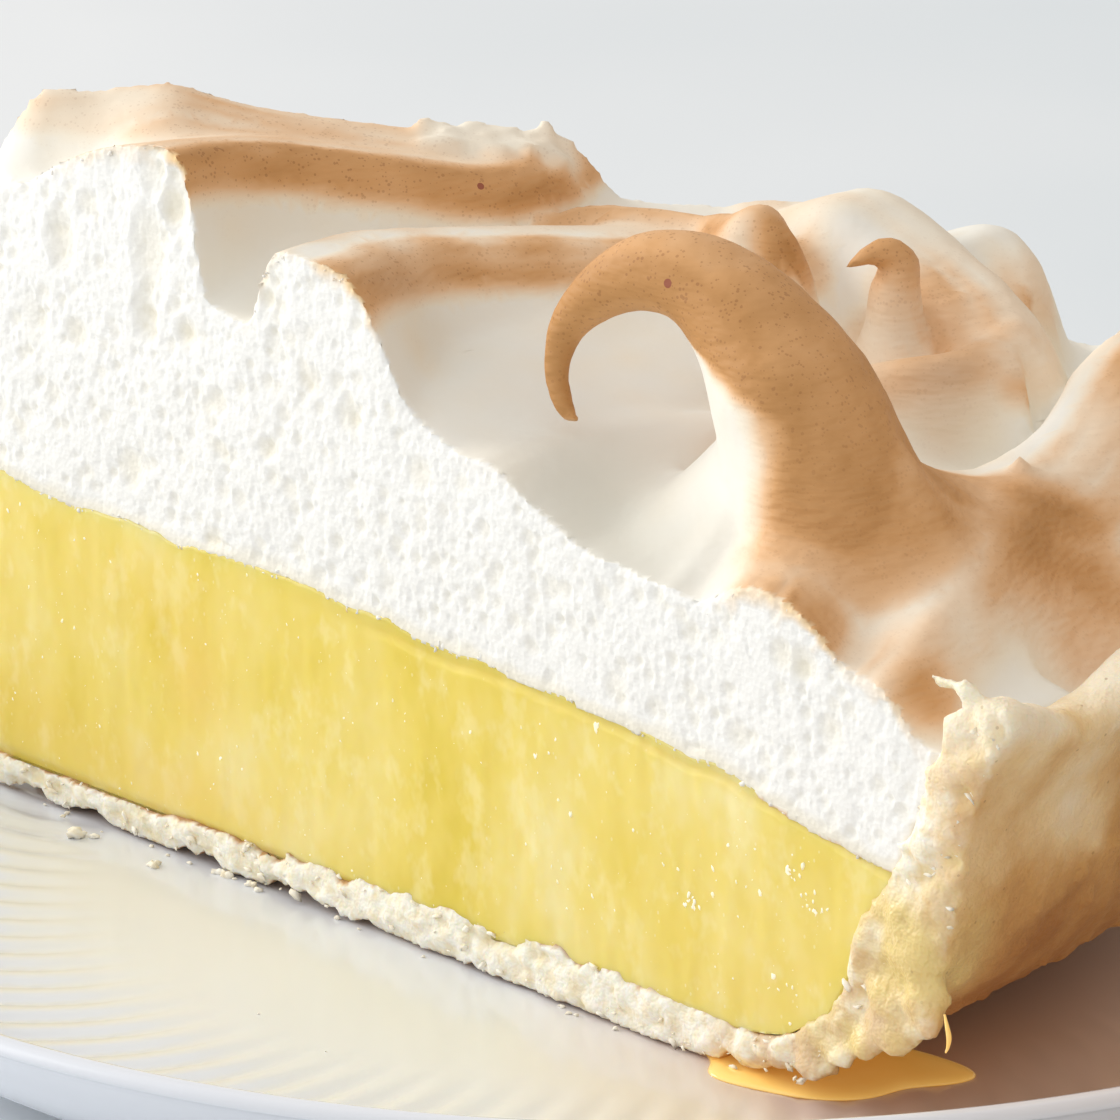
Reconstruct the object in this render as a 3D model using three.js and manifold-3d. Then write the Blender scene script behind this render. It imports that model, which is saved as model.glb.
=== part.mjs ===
// A cut slice of lemon meringue pie on a small dessert plate.
//
// Millimetres, +Z up. The origin is the centre of the plate's foot ring, on the table.
// The slice's tip points along -X and its crust end along +X. The near cut faces -Y.
// Food shapes are worked out in the pie's own frame: its origin is the pie's centre, at
// the underside of the crust, and the slice lies evenly to both sides of +X.
import * as THREE from 'three';
import { mergeVertices } from 'three/addons/utils/BufferGeometryUtils.js';
import Module from 'manifold-3d';

const wasm = await Module();
wasm.setup();

// ---------------------------------------------------------------- driving dimensions
const SLICE_ANGLE = THREE.MathUtils.degToRad(50);
const TIP_RADIUS = 0.8;          // the tip is a narrow blunt edge
const TOUCH_GAP = 0.3;           // clearance between pieces that lie on each other

const PLATE_RADIUS = 80;
const PLATE_HEIGHT = 17;
const WELL_HEIGHT = 6;           // top of the plate's flat well
const FOOT_RADIUS = 48;          // middle of the foot ring
const FOOT_WIDTH = 4;
const PLATE_SIDES = 84;

const CENTRE_OFFSET = 60.5;      // the pie's centre lies this far towards -X on the plate
const CRUST_FLOOR = 2.6;         // thickness of the bottom crust
const RIM_HEIGHT = 33.4;         // mean height of the crimped rim
const CRIMP_PITCH = THREE.MathUtils.degToRad(10.8);
const CRIMP_PHASE = THREE.MathUtils.degToRad(-25);
const CRIMP_RISE = 1.7;          // crest above, and hollow below, the mean height
const CRIMP_LEAN = 0.8;          // how far a crest leans outwards

const FOLD_DROP = 26;            // how far a fold's flanks fall below its crest
const FOLD_BLEND = 0.9;          // softness of the creases between folds
const FLOOR_TILT = 0.16;         // the hollow's floor climbs away from the near cut

const ANGLE_STEPS = 30;
const TOP_STEPS = 54;

// ---------------------------------------------------------------- small maths helpers
function smoothstep(low, high, value) {
  const t = THREE.MathUtils.clamp((value - low) / (high - low), 0, 1);
  return t * t * (3 - 2 * t);
}

function tableValue(table, x) {
  const last = table.length - 1;
  if (x <= table[0][0]) return table[0][1];
  for (let i = 0; i < last; i += 1) {
    const [x0, y0] = table[i];
    const [x1, y1] = table[i + 1];
    if (x <= x1) return y0 + ((y1 - y0) * (x - x0)) / (x1 - x0);
  }
  return table[last][1];
}

// A Catmull-Rom curve through rows of any length, sampled evenly.
function smoothRows(rows, count) {
  const last = rows.length - 1;
  const sampled = [];
  for (let k = 0; k < count; k += 1) {
    const t = (k * last) / (count - 1);
    const i = Math.min(Math.floor(t), last - 1);
    const u = t - i;
    const before = rows[Math.max(i - 1, 0)];
    const after = rows[Math.min(i + 2, last)];
    sampled.push(rows[i].map((value, axis) => {
      const next = rows[i + 1][axis];
      const linear = (next - before[axis]) * u;
      const square = (2 * before[axis] - 5 * value + 4 * next - after[axis]) * u * u;
      const cube = (3 * value - before[axis] - 3 * next + after[axis]) * u * u * u;
      return 0.5 * (2 * value + linear + square + cube);
    }));
  }
  return sampled;
}

// Repeatable fine unevenness, between -1 and 1.
function ripple(angle, height, seed) {
  const along = angle * 110;
  const coarse = Math.sin(along * 0.9 + seed) * Math.cos(height * 0.55 + 2.1 * seed);
  const fine = Math.sin(along * 2.3 - height * 0.8 + 3.7 * seed);
  return 0.6 * coarse + 0.4 * fine;
}

// ---------------------------------------------------------------- crust profile
// Radius and height of the shell's section, from the tip outwards along the underside,
// up the outer wall, over the rim and back along the inside.
const OUTER_PROFILE = [
  [TIP_RADIUS, 0], [30, 0], [60, 0], [86, 0], [95, 1.6], [102, 5.4], [107.5, 9.3],
  [110.6, 13.4], [111.8, 17.5], [112.5, 22], [113.2, 25.8], [114.6, 29.2], [116.2, 32],
];
const RIM_PROFILE = [[116.2, RIM_HEIGHT], [114.6, RIM_HEIGHT + 0.8], [112.4, RIM_HEIGHT + 0.4]];
const INNER_PROFILE = [
  [110.7, 32.3], [109.6, 29.4], [108.5, 26.8], [107.4, 23.8], [106.2, 21], [103.8, 17.5],
  [101.8, 12.5], [99, 7.4], [94, 4.1], [86, CRUST_FLOOR + 0.2], [60, CRUST_FLOOR],
  [30, CRUST_FLOOR], [TIP_RADIUS, CRUST_FLOOR],
];

// The crimps lift and lean the upper part of the wall and leave its foot alone.
function crimped(radius, height, angle) {
  const wave = Math.cos((2 * Math.PI * (angle - CRIMP_PHASE)) / CRIMP_PITCH);
  const share = smoothstep(22, RIM_HEIGHT, height);
  return [radius + CRIMP_LEAN * wave * share, height + CRIMP_RISE * wave * share];
}

function crustLoop(angle) {
  const outer = OUTER_PROFILE.map(([radius, height]) => {
    const rough = height > 4 ? 0.35 * ripple(angle, height, 1.3) : 0;
    const [r, z] = crimped(radius, height, angle);
    return [r + rough, z];
  });
  const rim = RIM_PROFILE.map(([radius, height], i) => {
    const [r, z] = crimped(radius, height, angle);
    return [r, z + 0.35 * ripple(angle, 4 * i, 2.6)];
  });
  const inner = INNER_PROFILE.map(([radius, height]) => crimped(radius, height, angle));
  return [...outer, ...rim, ...inner];
}

// Inside radius of the shell at a height, where the filling and the meringue meet it.
function innerRadius(height, angle) {
  const wall = INNER_PROFILE.slice(0, 9).map(([r, z]) => crimped(r, z, angle));
  return tableValue(wall.map(([r, z]) => [z, r]).reverse(), height);
}

// ---------------------------------------------------------------- lemon filling
const LEMON_TOP = [[TIP_RADIUS, 27.6], [20, 27], [40, 26.5], [60, 25.5], [76, 24.5], [88, 23.4], [98, 21.9]];
const LEMON_EDGE_HEIGHT = 20.4;

function lemonLoop(angle) {
  const wallStart = INNER_PROFILE.findIndex(([, height]) => height < LEMON_EDGE_HEIGHT);
  const below = INNER_PROFILE.slice(wallStart).reverse();
  const underside = below.map(([r, z], i) => {
    const inset = i < 4 ? 0 : 1.3 * TOUCH_GAP;
    return [Math.max(r - inset, TIP_RADIUS), z + 1.2 * TOUCH_GAP];
  });
  const edge = [innerRadius(LEMON_EDGE_HEIGHT, angle) - 1.3 * TOUCH_GAP, LEMON_EDGE_HEIGHT];
  return [...underside, edge, ...[...LEMON_TOP].reverse()];
}

// ---------------------------------------------------------------- meringue folds
// Each fold is one stroke of the spatula. Its path gives x, y and crest height with the
// width of the left and right flank, and the two powers say how square each flank is.
const FOLDS = [
  {
    name: 'tip ridge', powers: [2, 2],
    path: [
      [6.5, 3.6, 59.6, 9, 9], [10, 5, 59.2, 13, 14], [13, 6.3, 59.5, 18, 22],
      [15.5, 7.3, 59.7, 19, 24], [18, 8.4, 58.9, 20, 25], [22, 10, 57.6, 20, 26],
      [28, 12.6, 56.5, 20, 24], [36, 16.5, 55.2, 16, 20], [41, 20.5, 54.4, 14, 14],
    ],
  },
  {
    name: 'first ridge', powers: [2, 4],
    path: [
      [21.5, -14, 59.3, 34, 5], [22.6, -9.6, 59.2, 32, 5], [25.5, -2.1, 58.2, 26, 5.2],
      [29.5, 2.5, 57.1, 20, 5.4], [35.5, 6.2, 55.8, 18, 6], [41, 10.5, 54.4, 18, 6.6],
      [42.5, 17, 53.8, 16, 7.6], [42.5, 24, 53.4, 16, 8],
    ],
  },
  {
    name: 'second ridge', powers: [6, 3.4],
    path: [
      [38.2, -22, 53.8, 7.6, 11.5], [38, -16.8, 53.8, 7.6, 11.2], [39.3, -9, 53.2, 7.6, 10],
      [43.2, -2.2, 52.3, 7.6, 9], [48.5, 3.6, 51.3, 8, 9], [54.5, 8.6, 50.3, 9, 10],
      [61, 13, 49.4, 9, 11], [66, 20, 48.8, 9, 11],
    ],
  },
  {
    name: 'thin ridge', powers: [2.4, 2.4],
    path: [
      [46.2, 10.4, 50.2, 3.4, 3.4], [49, 13.2, 51.3, 3.6, 3.6], [54, 14.2, 51.2, 3.6, 3.6],
      [59, 13.6, 51.2, 4, 4], [63, 11.4, 52.2, 5, 5],
    ],
  },
  {
    name: 'lobe', powers: [2.6, 3],
    path: [[62, 12, 51.2, 7, 6.5], [65, 9.8, 53.9, 7, 6.5], [67.2, 8.6, 52.8, 5, 4.5]],
  },
  {
    name: 'roll', powers: [3, 5],
    path: [
      [62, 27, 48.8, 14, 9], [68, 24.4, 51.4, 12, 9.5], [73, 22, 50, 12, 10.5],
      [78.5, 19, 48, 10, 11.5], [83, 15.2, 46.2, 9, 11.5], [86, 11, 44.4, 8, 9],
    ],
  },
  {
    name: 'lip under the hook', powers: [4, 2.2],
    path: [
      [85, 12, 44.4, 5, 6], [84.6, 8.6, 44.8, 6, 6], [82.3, 5.8, 44.7, 6, 6], [78.5, 4.2, 44.1, 6, 6],
      [74.5, 3.8, 43, 5, 6],
    ],
  },
  {
    name: 'foot of the hook', powers: [1.6, 1.6],
    path: [[76, 9.6, 46.4, 4, 4], [78.8, 9, 45.8, 4, 4]],
  },
  {
    name: 'back lobe', powers: [3, 3.4],
    path: [
      [73, 31.5, 46.3, 9, 8], [76.5, 32, 47.2, 9, 8], [79, 31, 46.3, 7, 7.5],
      [81.3, 28, 44.2, 5, 6.5],
    ],
  },
  {
    name: 'rim ridge', powers: [3.6, 2.4],
    path: [
      [84.5, -22, 46.5, 9, 16], [88, -13.5, 41.5, 9, 16], [91.5, -7.5, 39.4, 9, 18],
      [93.2, 0.5, 41.4, 5, 19], [94, 9, 44.6, 5, 19], [94.5, 18, 44.4, 6, 19], [93, 28, 42, 8, 20],
      [90, 40, 38.8, 9, 20],
    ],
  },
  {
    name: 'rim crest', powers: [2, 2],
    path: [
      [93, -7, 39.8, 13, 20], [93.8, -14, 40, 12, 20], [94.5, -22, 39.8, 11, 20],
      [95.2, -31, 38.2, 11, 20], [95, -38.5, 36.4, 10, 20], [93.6, -44.5, 34, 9, 18],
      [92, -50, 31.8, 9, 16],
    ],
  },
  {
    name: 'skirt of the curl', powers: [2.6, 2],
    path: [
      [80.5, -21.5, 51, 6, 9], [84.5, -22.3, 49.4, 6, 13], [88, -24, 46.4, 6, 16],
      [91, -25.6, 42.8, 6, 14], [93, -26.8, 39.4, 6, 8],
    ],
  },
  {
    name: 'flank of the curl', powers: [1.2, 1.2],
    path: [[77.5, -20.5, 50.4, 6, 12], [79.5, -21.2, 50.8, 6, 12], [81.5, -22, 50, 6, 12]],
  },
  {
    name: 'foot of the curl', powers: [2.4, 2.4],
    path: [
      [84.5, -46, 38.2, 12, 14], [83.5, -36, 39.4, 12, 14], [83, -29, 42, 10, 14],
      [82.5, -24, 45, 8, 14],
    ],
  },
  {
    name: 'fold in the hollow', powers: [2, 2],
    path: [
      [53.5, -31, 40.6, 14, 14], [58.5, -21, 42, 14, 14], [64.5, -14.5, 42.6, 13, 13],
      [71, -11, 43.4, 12, 12],
    ],
  },
];
const FLOOR_LEVEL = [
  [0, 49], [20, 47.5], [34, 46.9], [47, 44.6], [53, 43.8], [58, 42], [66, 39.9], [72.5, 37.5],
  [79, 36.2], [88, 35], [97, 34.3], [103, 33.2], [106, 31], [108.5, 28],
];
const FOLD_SAMPLES = 40;
for (const fold of FOLDS) fold.curve = smoothRows(fold.path, FOLD_SAMPLES);

function floorHeight(x, y) {
  const radius = Math.hypot(x, y);
  const half = SLICE_ANGLE / 2;
  const behindCut = (y + x * Math.tan(half)) * Math.cos(half);
  const middle = Math.exp(-(((radius - 62) / 22) ** 2));
  return tableValue(FLOOR_LEVEL, radius) + FLOOR_TILT * THREE.MathUtils.clamp(behindCut, 0, 60) * middle;
}

function foldHeight(fold, x, y) {
  let nearest = Infinity;
  let height = 0;
  for (let i = 0; i < FOLD_SAMPLES - 1; i += 1) {
    const start = fold.curve[i];
    const end = fold.curve[i + 1];
    const dx = end[0] - start[0];
    const dy = end[1] - start[1];
    const along = ((x - start[0]) * dx + (y - start[1]) * dy) / (dx * dx + dy * dy);
    const t = THREE.MathUtils.clamp(along, 0, 1);
    const distance = Math.hypot(x - start[0] - t * dx, y - start[1] - t * dy);
    if (distance >= nearest) continue;
    nearest = distance;
    const onLeft = dx * (y - start[1]) - dy * (x - start[0]) > 0;
    const axis = onLeft ? 3 : 4;
    const width = start[axis] + (end[axis] - start[axis]) * t;
    const spread = (distance / width) ** fold.powers[onLeft ? 0 : 1];
    height = start[2] + (end[2] - start[2]) * t - (FOLD_DROP * spread) / (1 + spread);
  }
  return height;
}

function meringueTop(x, y) {
  const heights = [floorHeight(x, y), ...FOLDS.map((fold) => foldHeight(fold, x, y))];
  const highest = Math.max(...heights);
  const sum = heights.reduce((total, h) => total + Math.exp((h - highest) / FOLD_BLEND), 0);
  return highest + FOLD_BLEND * (Math.log(sum) - 0.39);
}

function meringueLoop(angle) {
  const inset = 1.3 * TOUCH_GAP;
  const bottom = LEMON_TOP.map(([r, z]) => [r, z + 1.2 * TOUCH_GAP]);
  const foot = LEMON_EDGE_HEIGHT + 1.2 * TOUCH_GAP;
  let brim = 33;
  for (let pass = 0; pass < 6; pass += 1) {
    const radius = innerRadius(brim, angle) - inset;
    brim = 0.5 * brim + 0.5 * meringueTop(radius * Math.cos(angle), radius * Math.sin(angle));
  }
  const wall = [0, 0.35, 0.7, 1].map((share) => {
    const height = foot + (brim - foot) * share;
    return [innerRadius(height, angle) - inset, height];
  });
  const edge = wall[wall.length - 1][0];
  const top = [];
  for (let i = 1; i <= TOP_STEPS; i += 1) {
    const radius = edge + ((TIP_RADIUS - edge) * i) / TOP_STEPS;
    top.push([radius, meringueTop(radius * Math.cos(angle), radius * Math.sin(angle))]);
  }
  return [...bottom, ...wall, ...top];
}

// ---------------------------------------------------------------- curled peaks
// Spines of the two peaks: x, y, z with half the width across and half the depth.
const BIG_CURL = [
  [61.3, -19.8, 43.4, 0.35, 0.35], [59.9, -19.2, 44.7, 0.85, 0.9], [59.1, -18.6, 47.3, 1.05, 1.1],
  [59.9, -18.2, 50.7, 1.5, 1.6], [62.7, -18.4, 53.8, 2.2, 2.4], [66.4, -18.9, 55.8, 2.95, 3.3],
  [70.1, -19.4, 56, 3.4, 4], [73.1, -19.7, 54.7, 4.1, 5], [75.8, -20.2, 52.4, 5, 6.4],
  [78.4, -20.8, 49, 6.2, 8.2], [80.8, -21.8, 45, 6.8, 8.6], [83, -23, 39.8, 7.6, 9.2],
  [85, -24.5, 33.3, 8, 9.6],
];
const SMALL_HOOK = [
  [73.6, 6.1, 50, 0.25, 0.4], [75, 7.2, 50.9, 0.75, 1.2], [76.4, 8.2, 51.2, 1.2, 1.6],
  [77.3, 8.8, 50, 1.55, 2], [76.9, 8.9, 47.6, 2.1, 2.5], [76.8, 9.4, 44.5, 2.6, 3.2],
  [76.8, 9.6, 40.5, 4.6, 5],
];
const CURL_DEPTH = new THREE.Vector3(-0.366, 0.93, 0);   // both curls bend across this line

function sweptPeak(rows, rings, sides) {
  const spine = smoothRows(rows, rings);
  const points = spine.map(([x, y, z]) => new THREE.Vector3(x, y, z));
  const positions = [];
  for (let i = 0; i < rings; i += 1) {
    const before = points[Math.max(i - 1, 0)];
    const after = points[Math.min(i + 1, rings - 1)];
    const along = after.clone().sub(before).normalize();
    const across = along.clone().cross(CURL_DEPTH).normalize();
    const depth = across.clone().cross(along);
    for (let k = 0; k < sides; k += 1) {
      const turn = (2 * Math.PI * k) / sides;
      const point = points[i].clone();
      point.addScaledVector(across, spine[i][3] * Math.cos(turn));
      point.addScaledVector(depth, spine[i][4] * Math.sin(turn));
      positions.push(point.x, point.y, point.z);
    }
  }
  const faces = [];
  for (let i = 0; i < rings - 1; i += 1) {
    for (let k = 0; k < sides; k += 1) {
      const a = i * sides + k;
      const b = i * sides + ((k + 1) % sides);
      faces.push(a, b, b + sides, a, b + sides, a + sides);
    }
  }
  const end = (rings - 1) * sides;
  for (let k = 1; k < sides - 1; k += 1) {
    faces.push(0, k + 1, k, end, end + k, end + k + 1);
  }
  return closedGeometry(positions, faces);
}

// ---------------------------------------------------------------- bodies from sections
function closedGeometry(positions, faces) {
  const geometry = new THREE.BufferGeometry();
  geometry.setAttribute('position', new THREE.Float32BufferAttribute(positions, 3));
  geometry.setIndex(faces);
  return signedVolume(geometry) < 0 ? flipped(geometry) : geometry;
}

function signedVolume(geometry) {
  const position = geometry.getAttribute('position');
  const index = geometry.getIndex().array;
  const [a, b, c] = [new THREE.Vector3(), new THREE.Vector3(), new THREE.Vector3()];
  let volume = 0;
  for (let i = 0; i < index.length; i += 3) {
    a.fromBufferAttribute(position, index[i]);
    b.fromBufferAttribute(position, index[i + 1]);
    c.fromBufferAttribute(position, index[i + 2]);
    volume += a.dot(b.cross(c)) / 6;
  }
  return volume;
}

function flipped(geometry) {
  const index = geometry.getIndex().array;
  for (let i = 0; i < index.length; i += 3) {
    [index[i], index[i + 1]] = [index[i + 1], index[i]];
  }
  return geometry;
}

// Turns a closed section, given for each angle, through the slice and closes both cuts.
function wedgeBody(loopAt) {
  const positions = [];
  let size = 0;
  let section = [];
  for (let j = 0; j <= ANGLE_STEPS; j += 1) {
    const angle = SLICE_ANGLE * (j / ANGLE_STEPS - 0.5);
    section = loopAt(angle);
    size = section.length;
    for (const [r, z] of section) positions.push(r * Math.cos(angle), r * Math.sin(angle), z);
  }
  const faces = [];
  for (let j = 0; j < ANGLE_STEPS; j += 1) {
    for (let i = 0; i < size; i += 1) {
      const a = j * size + i;
      const b = j * size + ((i + 1) % size);
      faces.push(a, b, b + size, a, b + size, a + size);
    }
  }
  const cutFace = (loop) => {
    const outline = loop.map(([r, z]) => new THREE.Vector2(r, z));
    return THREE.ShapeUtils.triangulateShape(outline, []);
  };
  const last = ANGLE_STEPS * size;
  for (const [a, b, c] of cutFace(loopAt(-SLICE_ANGLE / 2))) faces.push(b, a, c);
  for (const [a, b, c] of cutFace(section)) faces.push(last + a, last + b, last + c);
  return closedGeometry(positions, faces);
}

// ---------------------------------------------------------------- joining and cutting
function toSolid(geometry) {
  const plain = geometry.clone();
  plain.deleteAttribute('normal');
  plain.deleteAttribute('uv');
  const merged = mergeVertices(plain, 1e-4);
  const vertProperties = new Float32Array(merged.getAttribute('position').array);
  const triVerts = new Uint32Array(merged.getIndex().array);
  return new wasm.Manifold(new wasm.Mesh({ numProp: 3, vertProperties, triVerts }));
}

function toGeometry(solid) {
  const mesh = solid.getMesh();
  return closedGeometry(Array.from(mesh.vertProperties), Array.from(mesh.triVerts));
}

// A block over the slice's outline, which trims what leans out past the cuts.
function sliceBlock() {
  const radius = 104;
  const outline = new THREE.Shape();
  outline.moveTo(0, 0);
  outline.absarc(0, 0, radius, -SLICE_ANGLE / 2, SLICE_ANGLE / 2, false);
  outline.lineTo(0, 0);
  const geometry = new THREE.ExtrudeGeometry(outline, { depth: 40, bevelEnabled: false, curveSegments: 16 });
  geometry.translate(0, 0, 30);
  return geometry;
}

function meringueGeometry() {
  const block = toSolid(sliceBlock());
  const curl = toSolid(sweptPeak(BIG_CURL, 30, 16)).intersect(block);
  const hook = toSolid(sweptPeak(SMALL_HOOK, 14, 10));
  return toGeometry(toSolid(wedgeBody(meringueLoop)).add(curl).add(hook));
}

// ---------------------------------------------------------------- plate
function plateGeometry() {
  const foot = FOOT_WIDTH / 2;
  const profile = [
    [0, 2.2], [FOOT_RADIUS - foot - 1.5, 2.2], [FOOT_RADIUS - foot, 0], [FOOT_RADIUS + foot, 0],
    [FOOT_RADIUS + foot + 1.5, 2], [59, 2.6], [66, 4.7], [72.4, 8.6], [77, 12.9],
    [PLATE_RADIUS - 0.5, 15.4], [PLATE_RADIUS, 16.1], [PLATE_RADIUS - 0.3, 16.8],
    [PLATE_RADIUS - 1.1, PLATE_HEIGHT], [PLATE_RADIUS - 2.2, 16.4], [75, 13.6], [70.5, 10],
    [66, 7.6], [62, WELL_HEIGHT + 0.4], [58, WELL_HEIGHT], [0, WELL_HEIGHT],
  ];
  const turned = new THREE.LatheGeometry(profile.map(([r, z]) => new THREE.Vector2(r, z)), PLATE_SIDES);
  turned.rotateX(Math.PI / 2);
  return toGeometry(toSolid(turned));
}

// ---------------------------------------------------------------- the whole
const GLAZED_WHITE = new THREE.MeshStandardMaterial({ color: 0xf3efe6, roughness: 0.2, metalness: 0 });
const BAKED_CRUST = new THREE.MeshStandardMaterial({ color: 0xe0b97c, roughness: 0.85, metalness: 0 });
const LEMON_CURD = new THREE.MeshStandardMaterial({ color: 0xf0d75a, roughness: 0.35, metalness: 0 });
const MERINGUE = new THREE.MeshStandardMaterial({ color: 0xf7f0e2, roughness: 0.8, metalness: 0 });

function named(name, geometry, material) {
  const mesh = new THREE.Mesh(geometry, material);
  mesh.name = name;
  return mesh;
}

const food = new THREE.Group();
food.add(named('crust', wedgeBody(crustLoop), BAKED_CRUST));
food.add(named('lemon_filling', wedgeBody(lemonLoop), LEMON_CURD));
food.add(named('meringue', meringueGeometry(), MERINGUE));
food.position.set(-CENTRE_OFFSET, 0, WELL_HEIGHT + TOUCH_GAP);

const slice = new THREE.Group();
slice.add(named('plate', plateGeometry(), GLAZED_WHITE));
slice.add(food);
export default slice;
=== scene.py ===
import math

import bmesh
import bpy
import numpy as np
from mathutils import Matrix, Vector


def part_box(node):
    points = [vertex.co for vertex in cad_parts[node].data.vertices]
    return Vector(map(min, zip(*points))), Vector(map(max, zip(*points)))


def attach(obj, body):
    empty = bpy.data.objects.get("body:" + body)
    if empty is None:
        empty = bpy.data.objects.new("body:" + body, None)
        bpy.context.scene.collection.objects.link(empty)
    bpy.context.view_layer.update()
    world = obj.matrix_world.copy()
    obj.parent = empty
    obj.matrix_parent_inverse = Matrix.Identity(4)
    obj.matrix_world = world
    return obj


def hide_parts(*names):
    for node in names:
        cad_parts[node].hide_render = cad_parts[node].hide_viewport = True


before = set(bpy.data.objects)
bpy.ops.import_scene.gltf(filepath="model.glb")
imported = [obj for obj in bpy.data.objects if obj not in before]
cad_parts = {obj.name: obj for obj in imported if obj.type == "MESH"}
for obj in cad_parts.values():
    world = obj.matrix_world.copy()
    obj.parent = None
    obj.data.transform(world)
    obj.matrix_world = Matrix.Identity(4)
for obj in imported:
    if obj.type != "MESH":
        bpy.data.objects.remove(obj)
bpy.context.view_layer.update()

# ------------------------------------------------------------------ sizes, millimetres
# Shapes are worked out in the pie's own frame: its origin is the pie's centre at the
# underside of the crust, the slice lies evenly to both sides of +X, and +Z is up.
MM = 0.001
HALF = math.radians(25)              # half of the slice's angle
NEAR, FAR = -HALF, HALF              # the two cuts
TIP_RADIUS = 0.8
GAP = 0.3                            # clearance between the CAD pieces that lie on each other
TUCK = 0.4                           # how far foam and filling reach past it, out of sight
CRUST_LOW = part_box("crust")[0]
PIE = np.array([CRUST_LOW.x / MM - TIP_RADIUS * math.cos(HALF), 0.0, CRUST_LOW.z / MM])
WELL = -GAP                          # the plate's well, seen from the pie's frame

CRUST_FLOOR = 2.6
RIM_HEIGHT = 33.4
CRIMP_START = 22                     # height at which the wall begins to wave
CRIMP_PITCH = math.radians(10.8)
CRIMP_PHASE = math.radians(-25)
CRIMP_RISE = 1.7
CRIMP_LEAN = 0.8
LEMON_EDGE_RADIUS = 106.2
LEMON_EDGE_HEIGHT = 20.4
MERINGUE_VOXEL = 0.46                # skin resolution of the two browned bodies
CRUST_VOXEL = 0.5

# each cut with the way into the slice, square to it
CUTS = (
    (NEAR, np.array([math.sin(HALF), math.cos(HALF), 0.0])),
    (FAR, np.array([math.sin(HALF), -math.cos(HALF), 0.0])),
)


# ------------------------------------------------------------------ maths helpers
def smoothstep(low, high, value):
    t = np.clip((value - low) / (high - low), 0, 1)
    return t * t * (3 - 2 * t)


def mix(a, b, t):
    return a + (b - a) * t


def smooth_rows(rows, count):
    """A Catmull-Rom curve through rows of any length, sampled evenly."""
    rows = np.array(rows, float)
    last = len(rows) - 1
    t = np.linspace(0, last, count)
    i = np.minimum(t.astype(int), last - 1)
    u = (t - i)[:, None]
    before, here = rows[np.maximum(i - 1, 0)], rows[i]
    after, beyond = rows[i + 1], rows[np.minimum(i + 2, last)]
    linear = (after - before) * u
    square = (2 * before - 5 * here + 4 * after - beyond) * u**2
    cube = (3 * here - before - 3 * after + beyond) * u**3
    return 0.5 * (2 * here + linear + square + cube)


def table_value(table, x):
    known, values = np.array(table, float).T
    return np.interp(x, known, values)


def at(radius, angle, height):
    """The point at a radius, an angle and a height of the pie."""
    return np.array([radius * math.cos(angle), radius * math.sin(angle), height])


def radius_of(verts):
    return np.hypot(verts[:, 0], verts[:, 1])


def brushed(strokes, x, y, shade=0):
    """Adds soft round strokes to a shade: x, y, radius, amount."""
    for centre_x, centre_y, radius, amount in strokes:
        shade = shade + amount * np.exp(-((x - centre_x) ** 2 + (y - centre_y) ** 2) / radius**2)
    return shade


def clouds(rows, verts):
    """Soft patches on a cut: radius, height, half width, half height, amount."""
    radius, height = radius_of(verts), verts[:, 2]
    return sum(
        amount * np.exp(-(((radius - r) / wide) ** 2) - (((height - z) / tall) ** 2))
        for r, z, wide, tall, amount in rows)


def lattice(cell, seed):
    """A repeatable number from 0 to 1 for each cell of a grid."""
    ix, iy, iz = cell.T
    n = (ix * 73856093) ^ (iy * 19349663) ^ (iz * 83492791) ^ (seed * 2654435761)
    n = ((n ^ (n >> 13)) * 1274126177) & 0xFFFFFFFF
    n = ((n ^ (n >> 15)) * 668265263) & 0xFFFFFFFF
    return ((n ^ (n >> 16)) & 0xFFFFF) / 0xFFFFF


def noise(points, size, seed=0):
    """Smooth value noise from -1 to 1 with features of the given size."""
    place = np.asarray(points) / size
    cell = np.floor(place).astype(np.int64)
    share = place - cell
    share = share * share * (3 - 2 * share)
    total = 0
    for corner in np.ndindex(2, 2, 2):
        wide, deep, tall = np.abs(1 - np.array(corner) - share).T
        total = total + wide * deep * tall * lattice(cell + corner, seed)
    return 2 * total - 1


def rough(points, size, octaves, seed=0):
    """Several layers of noise, each half as large and half as strong."""
    return sum(noise(points, size / 2**k, seed + k) / 2**k for k in range(octaves)) / 1.6


def pores(points, size, share, seed=0):
    """Round pits: 1 in the middle of a pore and 0 outside, in a share of the grid's cells."""
    place = np.asarray(points) / size
    here = np.floor(place).astype(np.int64)
    deepest = np.zeros(len(place))
    for step in np.ndindex(3, 3, 3):
        cell = here + step - 1
        jitter = np.stack([lattice(cell, seed + k) for k in range(3)], 1)
        kind = lattice(cell, seed + 7)
        radius = np.where(kind < share, 0.3 + 0.45 * kind / share, 0.001)
        distance = np.linalg.norm(place - cell - jitter, axis=1)
        deepest = np.maximum(deepest, 1 - np.clip(distance / radius, 0, 1) ** 2)
    return deepest


# ------------------------------------------------------------------ crust profile
OUTER_PROFILE = [
    (TIP_RADIUS, 0), (30, 0), (60, 0), (86, 0), (95, 1.6), (102, 5.4), (107.5, 9.3),
    (110.6, 13.4), (111.8, 17.5), (112.5, 22), (113.2, 25.8), (114.6, 29.2), (116.2, 32),
]
RIM_PROFILE = [(116.2, RIM_HEIGHT), (114.6, RIM_HEIGHT + 0.8), (112.4, RIM_HEIGHT + 0.4)]
INNER_PROFILE = [
    (110.7, 32.3), (109.6, 29.4), (108.5, 26.8), (107.4, 23.8), (106.2, 21), (103.8, 17.5),
    (101.8, 12.5), (99, 7.4), (94, 4.1), (86, CRUST_FLOOR + 0.2), (60, CRUST_FLOOR),
    (30, CRUST_FLOOR), (TIP_RADIUS, CRUST_FLOOR),
]
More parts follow.
